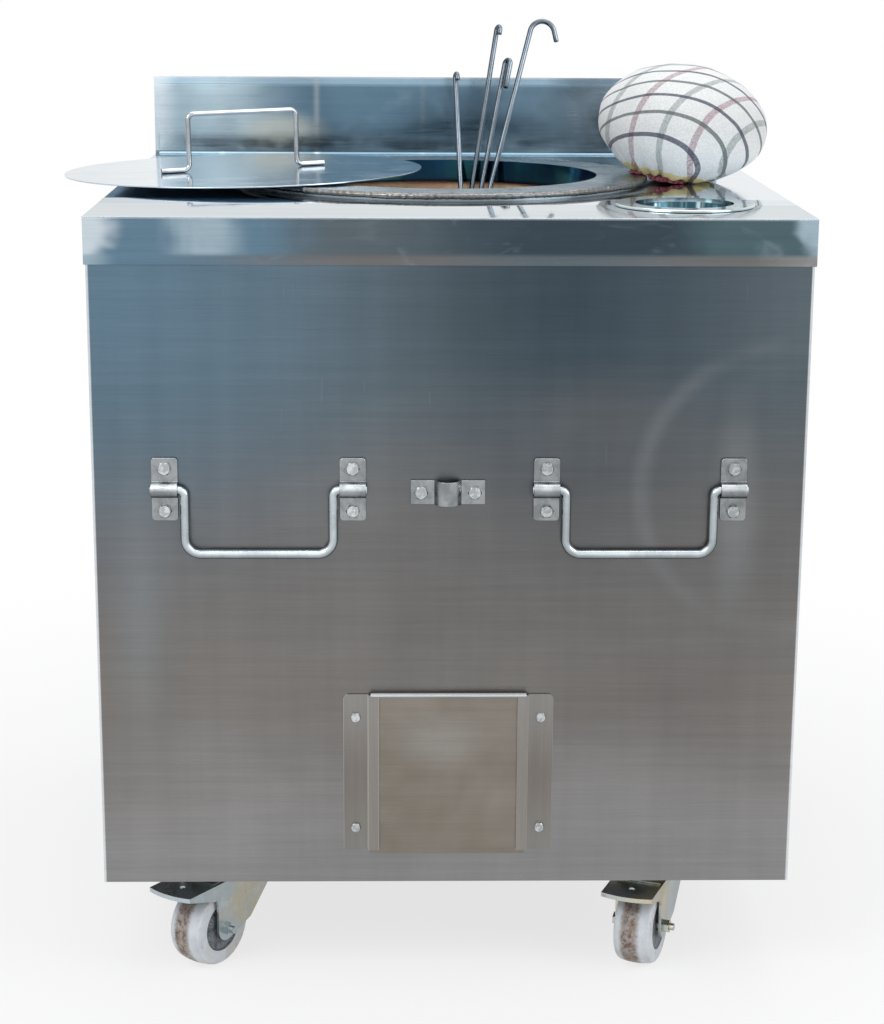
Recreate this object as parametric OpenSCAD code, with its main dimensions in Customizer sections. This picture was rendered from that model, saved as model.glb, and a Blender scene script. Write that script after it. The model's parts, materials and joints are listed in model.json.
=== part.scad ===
/* [Cabinet] */
// Width of the cabinet over its side panels
cabinet_w = 758; // [740:1:780]
// Depth of the cabinet over its front and rear panels
cabinet_d = 758; // [740:1:780]
// Height of the cabinet panels
cabinet_h = 733.5; // [715:0.5:760]
// Thickness of the panel and worktop sheet
sheet = 1.5; // [1.2:0.1:2]
// Leg length of the corner angles and base angles
angle_leg = 30; // [25:1:35]
// Thickness of the corner angles and base angles
angle_t = 3; // [2.5:0.5:4]
// Thickness of the base plate
base_t = 4; // [3:0.5:5]

/* [Worktop] */
// Overhang of the worktop past each panel
overhang = 2; // [1.9:0.1:4]
// Depth of the skirt that hangs from the worktop edge
skirt_h = 50; // [40:1:60]
// Height of the backsplash above the worktop
backsplash_h = 103; // [90:1:120]
// Width of the fold along the top of the backsplash
hem_top = 10; // [8:1:14]
// Width of the fold at each end of the backsplash
hem_end = 5; // [4:1:8]
// Leg of the weld fillet along the foot of the backsplash
foot_weld = 2.5; // [2:0.5:4]

/* [Mouth] */
// Inner radius of the mouth
mouth_r = 182; // [176:1:186]
// Outer radius of the mouth ring
ring_r = 239; // [234:1:242]
// Height of the mouth ring above the worktop
ring_h = 10; // [8:0.5:12]
// Thickness of the ring plate and its collar
ring_t = 3; // [2:0.5:4]
// Depth of the collar, from the top of the ring
collar_h = 27; // [22:1:32]
// Set-back of the ring's outer wall from its edge
ring_setback = 4; // [3:0.5:6]
// Radius of the weld bead round the ring
bead_r = 2.8; // [2:0.1:3.2]

/* [Clay pot] */
// Wall thickness of the pot
pot_wall = 38; // [32:1:42]
// Thickness of the pot floor
pot_floor_t = 25; // [20:1:30]
// Outer radius of the pot's foot
pot_foot_r = 236; // [228:1:245]
// Outer radius of the pot's belly
pot_belly_r = 292; // [282:1:300]
// Height of the belly above the foot
pot_belly_h = 300; // [270:5:330]
// Thickness of the refractory bed under the pot
bed_t = 30; // [25:1:35]
// Height of the grate above the pot floor
grate_h = 148; // [144:1:160]
// Thickness of the grate
grate_t = 10; // [8:1:14]
// Radius of the grate
grate_r = 174; // [166:1:175]
// Width of one grate bar
grate_bar_w = 16; // [12:1:20]
// Gap between the grate bars
grate_gap = 5; // [4:0.5:5.4]

/* [Ash door] */
// Width of the ash opening
ash_w = 140; // [120:1:148]
// Height of the ash opening
ash_h = 140; // [120:1:143]
// Width of the ash door
door_w = 169; // [166:1:176]
// Thickness of the ash door
door_t = 2; // [1.5:0.1:2.5]
// Height of the lower edge of the door above the cabinet's underside
door_z = 34; // [30:1:40]
// Reach of the folded lip at the top of the door
door_lip = 14; // [10:1:18]
// Height of the lower end of the rails above the cabinet's underside
rail_z = 39; // [36:1:44]
// Length of the rails
rail_h = 179.5; // [172:0.5:185]
// Width of the rail flange that is bolted to the panel
rail_flange = 27; // [24:1:32]
// Depth of the channel inside each rail
rail_step = 4.5; // [3.5:0.5:6]
// Reach of each rail over the edge of the door
rail_cover = 10; // [8:1:14]
// Thickness of the rail metal
rail_t = 2; // [1.5:0.5:2.5]
// Distance of a rail bolt from the end of its rail
rail_bolt_end = 26; // [20:1:34]

/* [Handles] */
// Distance of each handle from the middle of the cabinet
handle_x = 202.5; // [200:0.5:215]
// Height of the handle pivots above the cabinet's underside
handle_z = 447; // [430:1:470]
// Distance of each bracket from the middle of its handle
bracket_x = 99.5; // [94:0.5:102]
// Width of a bracket
bracket_w = 28; // [24:1:30]
// Height of a bracket
bracket_h = 68; // [62:1:76]
// Thickness of the bracket metal
bracket_t = 3.5; // [3:0.5:4]
// Distance of a bracket bolt from the pivot
bracket_bolt = 23; // [22:0.5:25]
// Diameter of the handle rod
handle_d = 10; // [9:0.5:12]
// Half of the distance between the handle arms
arm_x = 78.5; // [72:0.5:79]
// Drop of the handle bar below its pivots
handle_drop = 70; // [60:1:80]
// Bend radius at the lower corners of a handle
handle_bend = 16; // [12:1:22]
// Bend radius where each arm turns into its bracket
pivot_bend = 7; // [6.5:0.5:8]

/* [Tool loop] */
// Position of the loop to the right of the middle
loop_x = -2; // [-6:1:6]
// Height of the loop above the cabinet's underside
loop_z = 444; // [430:1:470]
// Width of the strap of the loop
loop_w = 79; // [76:1:90]
// Height of the strap of the loop
loop_h = 26; // [22:1:30]
// Outer width of the bulge of the loop
loop_bulge = 29; // [26:1:32]
// Reach of the loop in front of the panel
loop_reach = 16; // [15.5:0.5:22]
// Distance of a loop bolt from the middle of the loop
loop_bolt = 28.5; // [27:0.5:30]
// Thickness of the strap
loop_t = 3; // [2:0.5:4]

/* [Lid] */
// Radius of the lid
lid_r = 213; // [205:1:220]
// Thickness of the lid
lid_t = 1.5; // [1:0.1:2]
// Position of the lid to the right of the mouth
lid_x = -239; // [-245:1:-230]
// Position of the lid behind the middle of the mouth
lid_y = 20; // [10:1:30]
// Slope of the lid down to the left, in degrees
lid_tilt = 1.1; // [0:0.1:1.5]
// Diameter of the rod of the lid handle
lid_rod_d = 6; // [5:0.5:8]
// Width of the lid handle between its legs
lid_handle_w = 137; // [120:1:150]
// Height of the lid handle
lid_handle_h = 68; // [60:1:80]
// Length of each welded foot of the lid handle
lid_foot = 28; // [22:1:34]
// Turn of the lid handle, in degrees
lid_handle_turn = 24; // [15:1:30]

/* [Water bowl] */
// Distance of the bowl from the right edge of the worktop
bowl_side_inset = 125; // [119:1:131]
// Distance of the bowl from the front edge of the worktop
bowl_front_inset = 121; // [115:1:127]
// Outer radius of the rim of the bowl
bowl_rim_r = 76; // [72:1:80]
// Radius of the bowl at its mouth
bowl_r = 55; // [50:1:58]
// Depth of the bowl below its rim
bowl_depth = 50; // [40:1:60]
// Thickness of the bowl
bowl_t = 1.5; // [1:0.1:2]

/* [Skewers and hooks] */
// Diameter of each rod
rod_d = 6.5; // [5.5:0.5:7]
// Place of the short skewer on the rim
short_skewer_x = 24; // [20:1:28]
// Height of the shank of the short skewer above the worktop
short_skewer_top = 110; // [100:1:125]
// Place of the long skewer on the rim
long_skewer_x = 45; // [42:1:47]
// Height of the shank of the long skewer above the worktop
long_skewer_top = 171; // [160:1:185]
// Place of the narrow hook on the rim
narrow_hook_x = 58; // [56:1:60]
// Height of the shank of the narrow hook above the worktop
narrow_hook_top = 130; // [115:1:145]
// Place of the wide hook on the rim
wide_hook_x = 71; // [69:1:74]
// Height of the shank of the wide hook above the worktop
wide_hook_top = 171; // [160:1:185]
// Bend radius of the curled ends of the skewers
curl_r = 4.2; // [4:0.1:5]
// Bend radius of the narrow hook
narrow_bend_r = 4.6; // [4.2:0.1:5.5]
// Length of the returned end of the narrow hook
narrow_tail = 38; // [30:1:45]
// Bend radius of the wide hook
wide_bend_r = 15.5; // [13:0.5:18]
// Length of the returned end of the wide hook
wide_tail = 20; // [14:1:26]

/* [Cushion] */
// Radius of the cushion at its widest
cushion_r = 101; // [98:1:104]
// Height of the cushion above its widest part
cushion_crown = 68; // [62:1:74]
// Depth of the cushion below its widest part
cushion_belly = 63; // [58:1:68]
// Half the angle that the gathered opening takes of the cushion's round
gather_angle = 25; // [22:1:27]
// Turn of the gathered opening from straight down towards the left
gather_tilt = 14.5; // [13:0.5:17]
// Radius of the rolled hem round the gathered opening
hem_r = 2.5; // [2:0.5:3]
// Depth of the pleats where the cloth is gathered
pleat = 1.8; // [1.2:0.1:2.4]
// Distance of the cushion's middle from the right edge of the worktop
cushion_inset = 89; // [86:1:92]
// Position of the cushion behind the middle
cushion_y = 12; // [5:1:30]

/* [Castors] */
// Overall height of a castor
castor_h = 117; // [114:0.5:122]
// Diameter of a castor wheel
wheel_d = 92; // [86:1:94]
// Width of a castor wheel
wheel_w = 42; // [38:1:44]
// Radius of the crown across the tread
crown_r = 78; // [70:1:100]
// Radius of the cap over each side of the hub
hub_cap_r = 28; // [24:1:30]
// Distance of the wheel axle from the swivel
trail = 28; // [26:1:32]
// Distance of the left castors from the left side of the cabinet
castor_left_inset = 126.5; // [119:0.5:134]
// Distance of the right castors from the right side of the cabinet
castor_right_inset = 145.5; // [134:0.5:151]
// Distance of the castors from the front and back of the cabinet
castor_end_inset = 73.5; // [71:0.5:81]
// Width of a castor plate
plate_w = 94; // [88:1:100]
// Depth of a castor plate
plate_d = 72; // [68:1:78]
// Thickness of a castor plate
plate_t = 4; // [3:0.5:5]
// Spacing of the plate bolts along its width
plate_bolt_x = 74; // [72:1:78]
// Spacing of the plate bolts along its depth
plate_bolt_y = 52; // [50:1:54]
// Thickness of the fork metal
fork_t = 3; // [2.5:0.5:4]
// Reach of the brake pedal from the swivel
pedal_reach = 98; // [94:1:102]
// Radius of the rounded front edge of the brake pedal
pedal_nose_r = 90; // [80:1:95]

/* [Fasteners and fits] */
// Diameter of the panel and castor bolts
bolt_d = 8; // [6:1:8]
// Size of their heads across the flats
bolt_af = 13; // [10:1:13]
// Height of their heads
bolt_head = 5.3; // [4:0.1:6]
// Diameter of the rail bolts
rail_bolt_d = 6; // [5:1:6]
// Size of the rail bolt heads across the flats
rail_bolt_af = 10; // [8:1:10]
// Clearance round a bolt in its hole
bolt_clear = 0.2; // [0.1:0.1:0.4]
// Radial clearance of a pin that turns in its bore
pin_clear = 0.06; // [0.03:0.01:0.1]
// Gap at a loose seat between pieces that part
seat_gap = 0.3; // [0.2:0.1:0.4]
// Air gap between the panels and the insulation
air_gap = 9.5; // [9:0.5:12]

/* [Hidden] */
$fn = 64;
half_w = cabinet_w / 2;
half_d = cabinet_d / 2;
base_z = castor_h;
panel_top = base_z + cabinet_h;
top_z = panel_top + sheet;
ring_top = top_z + ring_h;
top_half_w = half_w + overhang;
top_half_d = half_d + overhang;
bowl_x = top_half_w - bowl_side_inset;
bowl_y = bowl_front_inset - top_half_d;
cushion_x = top_half_w - cushion_inset;
cut = 1;

// Clay pot, measured from its own foot
pot_z = base_z + base_t + bed_t;
pot_h = panel_top - pot_z;
neck_clear = 1;
neck_in_r = mouth_r + ring_t + neck_clear;
neck_out_r = neck_in_r + pot_wall;
bed_rim = 12;
pot_steps = 7;
pot_foot_in_r = pot_foot_r - pot_wall;
pot_floor_z = pot_z + pot_floor_t;
bed_r = pot_foot_r + bed_rim;
grate_z = pot_floor_z + grate_h;
grate_top = grate_z + grate_t;
grate_rim = 14;
grate_leg_r = 5;
duct_t = 1.5;
duct_clear = 0.8;
duct_depth = half_d - sheet - pot_inner_r(pot_floor_t + ash_h);

// Front panel fittings
door_top = base_z + rail_z + rail_h + seat_gap;
door_bottom = base_z + door_z;
rail_side_clear = 0.8;
rail_corner_r = 6;
rail_in_x = door_w / 2 + rail_side_clear;
rail_bolt_x = rail_in_x + rail_t + rail_flange / 2;
handle_air = 1;
pivot_out = handle_d / 2 + handle_air;
handle_r = handle_d / 2;
pivot_bore_r = handle_r + pin_clear;
stub_proud = 1;
stub_end = bracket_x + bracket_w / 2 + stub_proud;
corner_r = 4;
bolt_r = bolt_d / 2;
hole_r = bolt_r + bolt_clear;
rail_bolt_r = rail_bolt_d / 2;
rail_hole_r = rail_bolt_r + bolt_clear;
nut_extra = 1.2;
nut_h = bolt_head + nut_extra;
head_base = 1.5;
head_tip = 0.95;
rail_head = 4;
rail_nut_h = 5;
sides = [-1, 1];
bracket_bolts_at = [for (s = sides) for (b = sides) for (v = sides)
    [s * handle_x + b * bracket_x, base_z + handle_z + v * bracket_bolt]];
loop_bolts_at = [for (b = sides) [loop_x + b * loop_bolt, base_z + loop_z]];
rail_bolts_at = [for (s = sides) for (v = [rail_bolt_end, rail_h - rail_bolt_end])
    [s * rail_bolt_x, base_z + rail_z + v]];

// Rods, the bowl's rolled rim, and the lid with its handle
rod_rim_gap = 4;
short_skewer_lean = [-0.047, 0.42];
long_skewer_lean = [0.157, 0.15];
narrow_hook_lean = [0.192, 0.19];
wide_hook_lean = [0.263, 0.255];
short_curl_tail = 2;
long_curl_tail = 3;
short_curl_turn = -30;
long_curl_turn = -40;
bowl_lip = 3.2;
bowl_hole_clear = 1;
bowl_well_clear = 4;
lid_z = ring_top + seat_gap + (ring_r + lid_x) * tan(lid_tilt);
lid_bend = 7;

// Cushion, as rings of points round the axis of its gathered opening
cushion_segs = 48;
cushion_rings = 13;
pleats = 12;
pleat_end = 60;
dish_share = 0.55;
dish_lift = 12;
hem_gap = 0.4;
hem_ends = [cushion_point(gather_angle, 0, 0), cushion_point(gather_angle, 180, 0)];
hem_centre = (hem_ends[0] + hem_ends[1]) / 2;
hem_slope = asin((hem_ends[1][2] - hem_ends[0][2]) / norm(hem_ends[0] - hem_ends[1]));
hem_ring_r = norm(hem_ends[0] - hem_ends[1]) / 2 - hem_r;
hem_drop = hem_r + hem_gap;
hem_low = hem_centre[2] - hem_drop * cos(hem_slope) - hem_ring_r * sin(hem_slope) - hem_r;
cushion_low = min(concat([for (p = cushion_points()) p[2]], [hem_low]));
cushion_z = top_z + seat_gap - cushion_low;

// Castors, front pair first
castor_y = half_d - castor_end_inset;
castor_x = [castor_left_inset - half_w, half_w - castor_right_inset];
castor_at = [for (y = [-castor_y, castor_y]) for (x = castor_x) [x, y]];
castor_turn = [-36, -22, 168, 194];
wheel_r = wheel_d / 2;
wheel_edge_r = 4;
wheel_crown_drop = 2.5;
wheel_side_r = wheel_r - wheel_edge_r - wheel_crown_drop;
cap_t = 2;
recess = 3;
plate_z = castor_h - plate_t;
race_h = 7;
race_r = 24;
kingpin_r = 6;
kingpin_head_r = 10;
kingpin_head_h = 3.5;
race_gap = 0.2;
crown_top = plate_z - race_h - race_gap;
crown_z = crown_top - fork_t;
fork_gap = 3;
cheek_x = wheel_w / 2 + fork_gap;
fork_half = cheek_x + fork_t;
axle_r = 4;
sleeve_r = 6;
wheel_bore_r = sleeve_r + pin_clear;
boss_r = 14;
head_r = 36;
plate_corner_r = 6;
fork_back = 46;
fork_front = 50;
fork_neck_z = 76;
fork_knee = [14, 46];
fork_heel_z = 78;
boss_leave = -62;
axle_end = 5;
cap_clear = 0.2;
cap_bore_clear = 0.5;
pedal_t = 2;
pedal_gap = 0.4;
pedal_half = fork_half + pedal_gap + pedal_t;
pedal_corner_y = pedal_reach - pedal_nose_r + sqrt(pedal_nose_r * pedal_nose_r - pedal_half * pedal_half);
pedal_pin_r = 2.5;
pedal_pin_y = -33;
pedal_pin_drop = 5.5;
pedal_z = crown_z - pedal_pin_drop;
pedal_drop = 1.8;
pedal_top = crown_top - pedal_drop;
pedal_lip = 5;
pedal_wall_h = 18;
pedal_wall_low = pedal_top - pedal_wall_h;
pedal_wall_end = -26;
pedal_hole_r = 3.5;
pedal_hole_y = -72;

// Where the origin lies: under the middle of everything
left_reach = lid_r * cos(lid_tilt) - lid_x;
right_reach = max(concat([top_half_w], [for (p = cushion_points()) cushion_x + p[0]]));
pedal_front = [for (i = [0, 1])
    castor_y + pedal_corner_y * cos(castor_turn[i]) + pedal_half * sin(abs(castor_turn[i]))];
front_reach = max(pedal_front[0], pedal_front[1], half_d + loop_reach);
origin_x = (right_reach - left_reach) / 2;
origin_y = (top_half_d - front_reach) / 2;

// Shared helpers
module place() {
    translate([-origin_x, -origin_y, 0]) children();
}

// Drawing plane of the front panel: x right, y up, z out of the panel
module on_front() {
    translate([0, -half_d, 0]) rotate([90, 0, 0]) children();
}

module centred_box(w, d, h) {
    translate([-w / 2, -d / 2, 0]) cube([w, d, h]);
}

module rounded_rect(w, h, r) {
    square([w - 2 * r, h], center = true);
    square([w, h - 2 * r], center = true);
    for (sx = sides) for (sy = sides)
        translate([sx * (w / 2 - r), sy * (h / 2 - r)]) circle(r = r);
}

// A chamfered hexagon head on z = 0 with its shank below
module hex_bolt(r, af, head, length) {
    flat_r = af / 2;
    intersection() {
        cylinder(r = flat_r / cos(30), h = head, $fn = 6);
        cylinder(r1 = flat_r * head_base, r2 = flat_r * head_tip, h = head, $fn = 32);
    }
    translate([0, 0, -length]) cylinder(r = r, h = length + head / 2, $fn = 24);
}

module hex_nut(r, af, h) {
    difference() {
        cylinder(r = af / 2 / cos(30), h = h, $fn = 6);
        translate([0, 0, -cut]) cylinder(r = r, h = h + 2 * cut, $fn = 24);
    }
}

// A rod that turns by a quarter from +x to +y about its corner
module quarter_bend(bend, r) {
    rotate_extrude(angle = 90) translate([bend, 0]) circle(r = r, $fn = 24);
}

// Cabinet
module front_panel() {
    color("silver") on_front() translate([0, 0, -sheet]) linear_extrude(sheet) difference() {
        translate([0, base_z + cabinet_h / 2]) square([cabinet_w, cabinet_h], center = true);
        translate([-ash_w / 2, pot_floor_z]) square([ash_w, ash_h]);
        for (p = concat(bracket_bolts_at, loop_bolts_at)) translate(p) circle(r = hole_r, $fn = 24);
        for (p = rail_bolts_at) translate(p) circle(r = rail_hole_r, $fn = 24);
    }
}

module rear_panel() {
    color("silver") translate([-half_w, half_d - sheet, base_z]) cube([cabinet_w, sheet, cabinet_h]);
}

module side_panel() {
    color("silver") translate([half_w - sheet, -half_d + sheet, base_z])
        cube([sheet, cabinet_d - 2 * sheet, cabinet_h]);
}

module base_plate() {
    color("dimgray") difference() {
        translate([0, 0, base_z])
            centred_box(cabinet_w - 2 * sheet, cabinet_d - 2 * sheet, base_t);
        for (c = castor_at) plate_holes(c) translate([0, 0, base_z - cut])
            cylinder(r = hole_r, h = base_t + 2 * cut, $fn = 24);
    }
}

// Angle iron round the foot of the cabinet, welded to the base plate
module base_frame() {
    w = cabinet_w - 2 * sheet;
    d = cabinet_d - 2 * sheet;
    color("dimgray") translate([0, 0, base_z + base_t]) difference() {
        centred_box(w, d, angle_leg);
        translate([0, 0, angle_t]) centred_box(w - 2 * angle_t, d - 2 * angle_t, angle_leg);
        translate([0, 0, -cut]) centred_box(w - 2 * angle_leg, d - 2 * angle_leg, angle_leg);
    }
}

module corner_posts() {
    post_z = base_z + base_t + angle_leg;
    color("dimgray") for (mx = [0, 1]) for (my = [0, 1]) mirror([mx, 0, 0]) mirror([0, my, 0])
        translate([half_w - sheet - angle_leg, half_d - sheet - angle_leg, post_z]) difference() {
            cube([angle_leg, angle_leg, panel_top - post_z]);
            translate([-angle_t, -angle_t, -cut]) cube([angle_leg, angle_leg, cabinet_h]);
        }
}

// Worktop
module worktop() {
    skirt_clear = overhang - sheet;
    color("gainsboro") difference() {
        translate([0, 0, top_z - skirt_h]) centred_box(2 * top_half_w, 2 * top_half_d, skirt_h);
        translate([0, 0, top_z - skirt_h - sheet])
            centred_box(cabinet_w + 2 * skirt_clear, cabinet_d + 2 * skirt_clear, skirt_h);
        translate([0, 0, panel_top - cut]) cylinder(r = neck_in_r, h = sheet + 2 * cut, $fn = 128);
        translate([bowl_x, bowl_y, panel_top - cut])
            cylinder(r = bowl_r + bowl_hole_clear, h = sheet + 2 * cut);
    }
}

// Upstand with its top and ends folded to the front
module backsplash() {
    color("lightsteelblue") translate([0, top_half_d, top_z]) {
        translate([-top_half_w, -sheet, 0]) cube([2 * top_half_w, sheet, backsplash_h]);
        translate([-top_half_w, -2 * sheet, backsplash_h - hem_top])
            cube([2 * top_half_w, sheet, hem_top]);
        for (sx = sides) translate([sx * (top_half_w - hem_end / 2) - hem_end / 2, -2 * sheet, 0])
            cube([hem_end, sheet, backsplash_h - hem_top]);
        translate([-top_half_w + hem_end, -sheet, 0]) rotate([90, 0, 90])
            linear_extrude(2 * (top_half_w - hem_end))
                polygon([[0, 0], [-foot_weld, 0], [0, foot_weld]]);
    }
}

// Raised ring: a top plate with a collar inside and a set-back wall outside
module mouth_ring() {
    wall_r = ring_r - ring_setback;
    color("slategray") rotate_extrude($fn = 128) {
        translate([mouth_r, ring_top - ring_t]) square([ring_r - mouth_r, ring_t]);
        translate([mouth_r, ring_top - collar_h]) square([ring_t, collar_h]);
        translate([wall_r - ring_t, top_z]) square([ring_t, ring_h]);
    }
}

// Weld bead that hangs round the outer edge of the ring plate
module ring_weld() {
    color("tan") rotate_extrude($fn = 128) translate([ring_r, ring_top - bead_r]) intersection() {
        circle(r = bead_r, $fn = 24);
        translate([0, -bead_r]) square([bead_r, 2 * bead_r]);
    }
}

// Clay pot: a smooth barrel between its foot, belly and neck
function ease(t) = (1 - cos(180 * t)) / 2;
function pot_radius(h, foot, belly, neck) = h < pot_belly_h
    ? foot + (belly - foot) * sin(90 * h / pot_belly_h)
    : belly + (neck - belly) * ease((h - pot_belly_h) / (pot_h - pot_belly_h));
pot_heights = concat([for (i = [0 : pot_steps]) pot_belly_h * i / pot_steps],
    [for (i = [1 : pot_steps]) pot_belly_h + (pot_h - pot_belly_h) * i / pot_steps]);
pot_in_heights = concat([pot_floor_t], [for (h = pot_heights) if (h > pot_floor_t + cut) h]);

module pot_outer(grow = 0) {
    rotate_extrude($fn = 96) polygon(concat([[0, 0]],
        [for (h = pot_heights) [pot_radius(h, pot_foot_r, pot_belly_r, neck_out_r) + grow, h]],
        [[0, pot_h]]));
}

module pot_inner() {
    rotate_extrude($fn = 96) polygon(concat([[0, pot_floor_t]],
        [for (h = pot_in_heights) [pot_inner_r(h), h]],
        [[neck_in_r, pot_h + cut], [0, pot_h + cut]]));
}

function pot_inner_r(h) = pot_radius(h, pot_foot_in_r, pot_belly_r - pot_wall, neck_in_r);

// The ash passage, grown all round and ending at a distance from the middle
module ash_box(grow, end) {
    translate([-ash_w / 2 - grow, -half_d, pot_floor_z - grow])
        cube([ash_w + 2 * grow, half_d - end, ash_h + 2 * grow]);
}

module clay_pot() {
    color("peru") difference() {
        translate([0, 0, pot_z]) pot_outer();
        translate([0, 0, pot_z]) pot_inner();
        ash_box(duct_t + duct_clear, pot_inner_r(pot_floor_t));
        ash_box(0, pot_foot_in_r - pot_wall);
    }
}

module pot_bed() {
    color("darkgray") translate([0, 0, base_z + base_t]) cylinder(r = bed_r, h = bed_t, $fn = 96);
}

module insulation() {
    long_w = cabinet_w - 2 * sheet - 2 * seat_gap;
    air_w = cabinet_w - 2 * sheet - 2 * angle_leg - 2 * seat_gap;
    inner_d = cabinet_d - 2 * sheet - 2 * air_gap;
    air_d = cabinet_d - 2 * sheet - 2 * angle_leg - 2 * seat_gap;
    foot = base_z + base_t + angle_leg + seat_gap;
    color("khaki") difference() {
        translate([0, 0, foot]) union() {
            centred_box(long_w, air_d, panel_top - foot);
            centred_box(air_w, inner_d, panel_top - foot);
        }
        translate([0, 0, pot_z]) pot_outer(seat_gap);
        translate([0, 0, base_z]) cylinder(r = bed_r + seat_gap, h = pot_z - base_z + seat_gap, $fn = 96);
        translate([0, 0, pot_z + pot_h - cut]) cylinder(r = neck_out_r + seat_gap, h = 2 * cut, $fn = 96);
        ash_box(duct_t + duct_clear, pot_inner_r(pot_floor_t));
        translate([bowl_x, bowl_y, top_z - bowl_depth - bowl_well_clear])
            cylinder(r = bowl_r + bowl_well_clear, h = bowl_depth + bowl_well_clear);
    }
}

module ash_duct() {
    color("gray") translate([0, -half_d + sheet, pot_floor_z]) difference() {
        translate([-ash_w / 2 - duct_t, 0, -duct_t])
            cube([ash_w + 2 * duct_t, duct_depth, ash_h + 2 * duct_t]);
        translate([-ash_w / 2, -cut, 0]) cube([ash_w, duct_depth + 2 * cut, ash_h]);
    }
}

// Cast grate on four legs that passes the mouth, with gaps too narrow for a rod
module ash_grate() {
    bar_in_r = grate_r - grate_rim;
    bars = floor((bar_in_r - grate_gap) / (grate_bar_w + grate_gap));
    leg_at = grate_r - grate_rim / 2;
    color("dimgray") {
        translate([0, 0, grate_z]) linear_extrude(grate_t) {
            difference() {
                circle(r = grate_r, $fn = 96);
                circle(r = bar_in_r, $fn = 96);
            }
            intersection() {
                circle(r = grate_r - grate_rim / 2, $fn = 96);
                for (i = [-bars : bars]) translate([i * (grate_bar_w + grate_gap), 0])
                    square([grate_bar_w, 2 * grate_r], center = true);
            }
        }
        for (a = [45 : 90 : 315]) rotate([0, 0, a]) translate([leg_at, 0, pot_floor_z])
            cylinder(r = grate_leg_r, h = grate_h + grate_t / 2);
    }
}

// Ash door and the rails that it slides in
module door_rail() {
    flange_end = rail_in_x + rail_t + rail_flange;
    color("gray") difference() {
        on_front() translate([0, base_z + rail_z + rail_h, 0]) rotate([90, 0, 0]) linear_extrude(rail_h) {
            translate([rail_in_x, 0]) square([flange_end - rail_in_x, rail_t]);
            translate([rail_in_x, 0]) square([rail_t, rail_step + rail_t]);
            translate([rail_in_x - rail_cover, rail_step]) square([rail_cover + rail_t, rail_t]);
        }
        on_front() for (p = rail_bolts_at) translate([p[0], p[1], -cut])
            cylinder(r = rail_hole_r, h = rail_t + 2 * cut, $fn = 24);
        on_front() translate([flange_end, base_z + rail_z + rail_h, 0] - rail_corner_r * [1, 1, 0])
            translate([0, 0, -cut]) difference() {
                cube([rail_corner_r + cut, rail_corner_r + cut, rail_t + 2 * cut]);
                cylinder(r = rail_corner_r, h = rail_t + 2 * cut);
            }
    }
}

module ash_door() {
    color("rosybrown") on_front() {
        translate([-door_w / 2, door_bottom, seat_gap]) cube([door_w, door_top - door_bottom, door_t]);
        translate([-door_w / 2, door_top, seat_gap]) cube([door_w, door_t, door_lip]);
    }
}

module rail_bolts() {
    color("silver") on_front() for (p = rail_bolts_at) translate([p[0], p[1], 0]) {
        translate([0, 0, rail_t])
            hex_bolt(rail_bolt_r, rail_bolt_af, rail_head, rail_t + sheet + rail_nut_h);
        translate([0, 0, -sheet - rail_nut_h]) hex_nut(rail_bolt_r, rail_bolt_af, rail_nut_h);
    }
}

// Bolts of the handle brackets and of the tool loop, with their nuts
module handle_bolts() {
    shank = bracket_t + sheet + nut_h;
    color("silver") on_front() {
        for (p = bracket_bolts_at) translate([p[0], p[1], bracket_t])
            hex_bolt(bolt_r, bolt_af, bolt_head, shank);
        for (p = loop_bolts_at) translate([p[0], p[1], loop_t])
            hex_bolt(bolt_r, bolt_af, bolt_head, shank - bracket_t + loop_t);
        for (p = concat(bracket_bolts_at, loop_bolts_at)) translate([p[0], p[1], -sheet - nut_h])
            hex_nut(bolt_r, bolt_af, nut_h);
    }
}

// Saddle bracket, centred on the pivot of the handle
module handle_bracket() {
    bulge_r = pivot_bore_r + bracket_t;
    difference() {
        translate([-bracket_w / 2, 0, 0]) rotate([90, 0, 90]) linear_extrude(bracket_w) difference() {
            union() {
                translate([-bracket_h / 2, 0]) square([bracket_h, bracket_t]);
                translate([-bulge_r, 0]) square([2 * bulge_r, pivot_out]);
                translate([0, pivot_out]) circle(r = bulge_r);
            }
            translate([0, pivot_out]) circle(r = pivot_bore_r);
            translate([-pivot_bore_r, -cut]) square([2 * pivot_bore_r, pivot_out + cut]);
            translate([-bracket_h, -2 * bracket_h]) square([2 * bracket_h, 2 * bracket_h]);
        }
        for (v = sides) translate([0, v * bracket_bolt, -cut])
            cylinder(r = hole_r, h = bracket_t + 2 * cut, $fn = 24);
        translate([0, 0, -cut]) linear_extrude(bracket_t + 2 * cut) difference() {
            square([bracket_w + 2 * cut, bracket_h + 2 * cut], center = true);
            rounded_rect(bracket_w, bracket_h, corner_r);
            square([bracket_w + 3 * cut, bracket_h / 2], center = true);
        }
    }
}

module handle_brackets(side) {
    color("gainsboro") on_front() for (b = sides)
        translate([side * handle_x + b * bracket_x, base_z + handle_z, 0]) handle_bracket();
}

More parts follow.
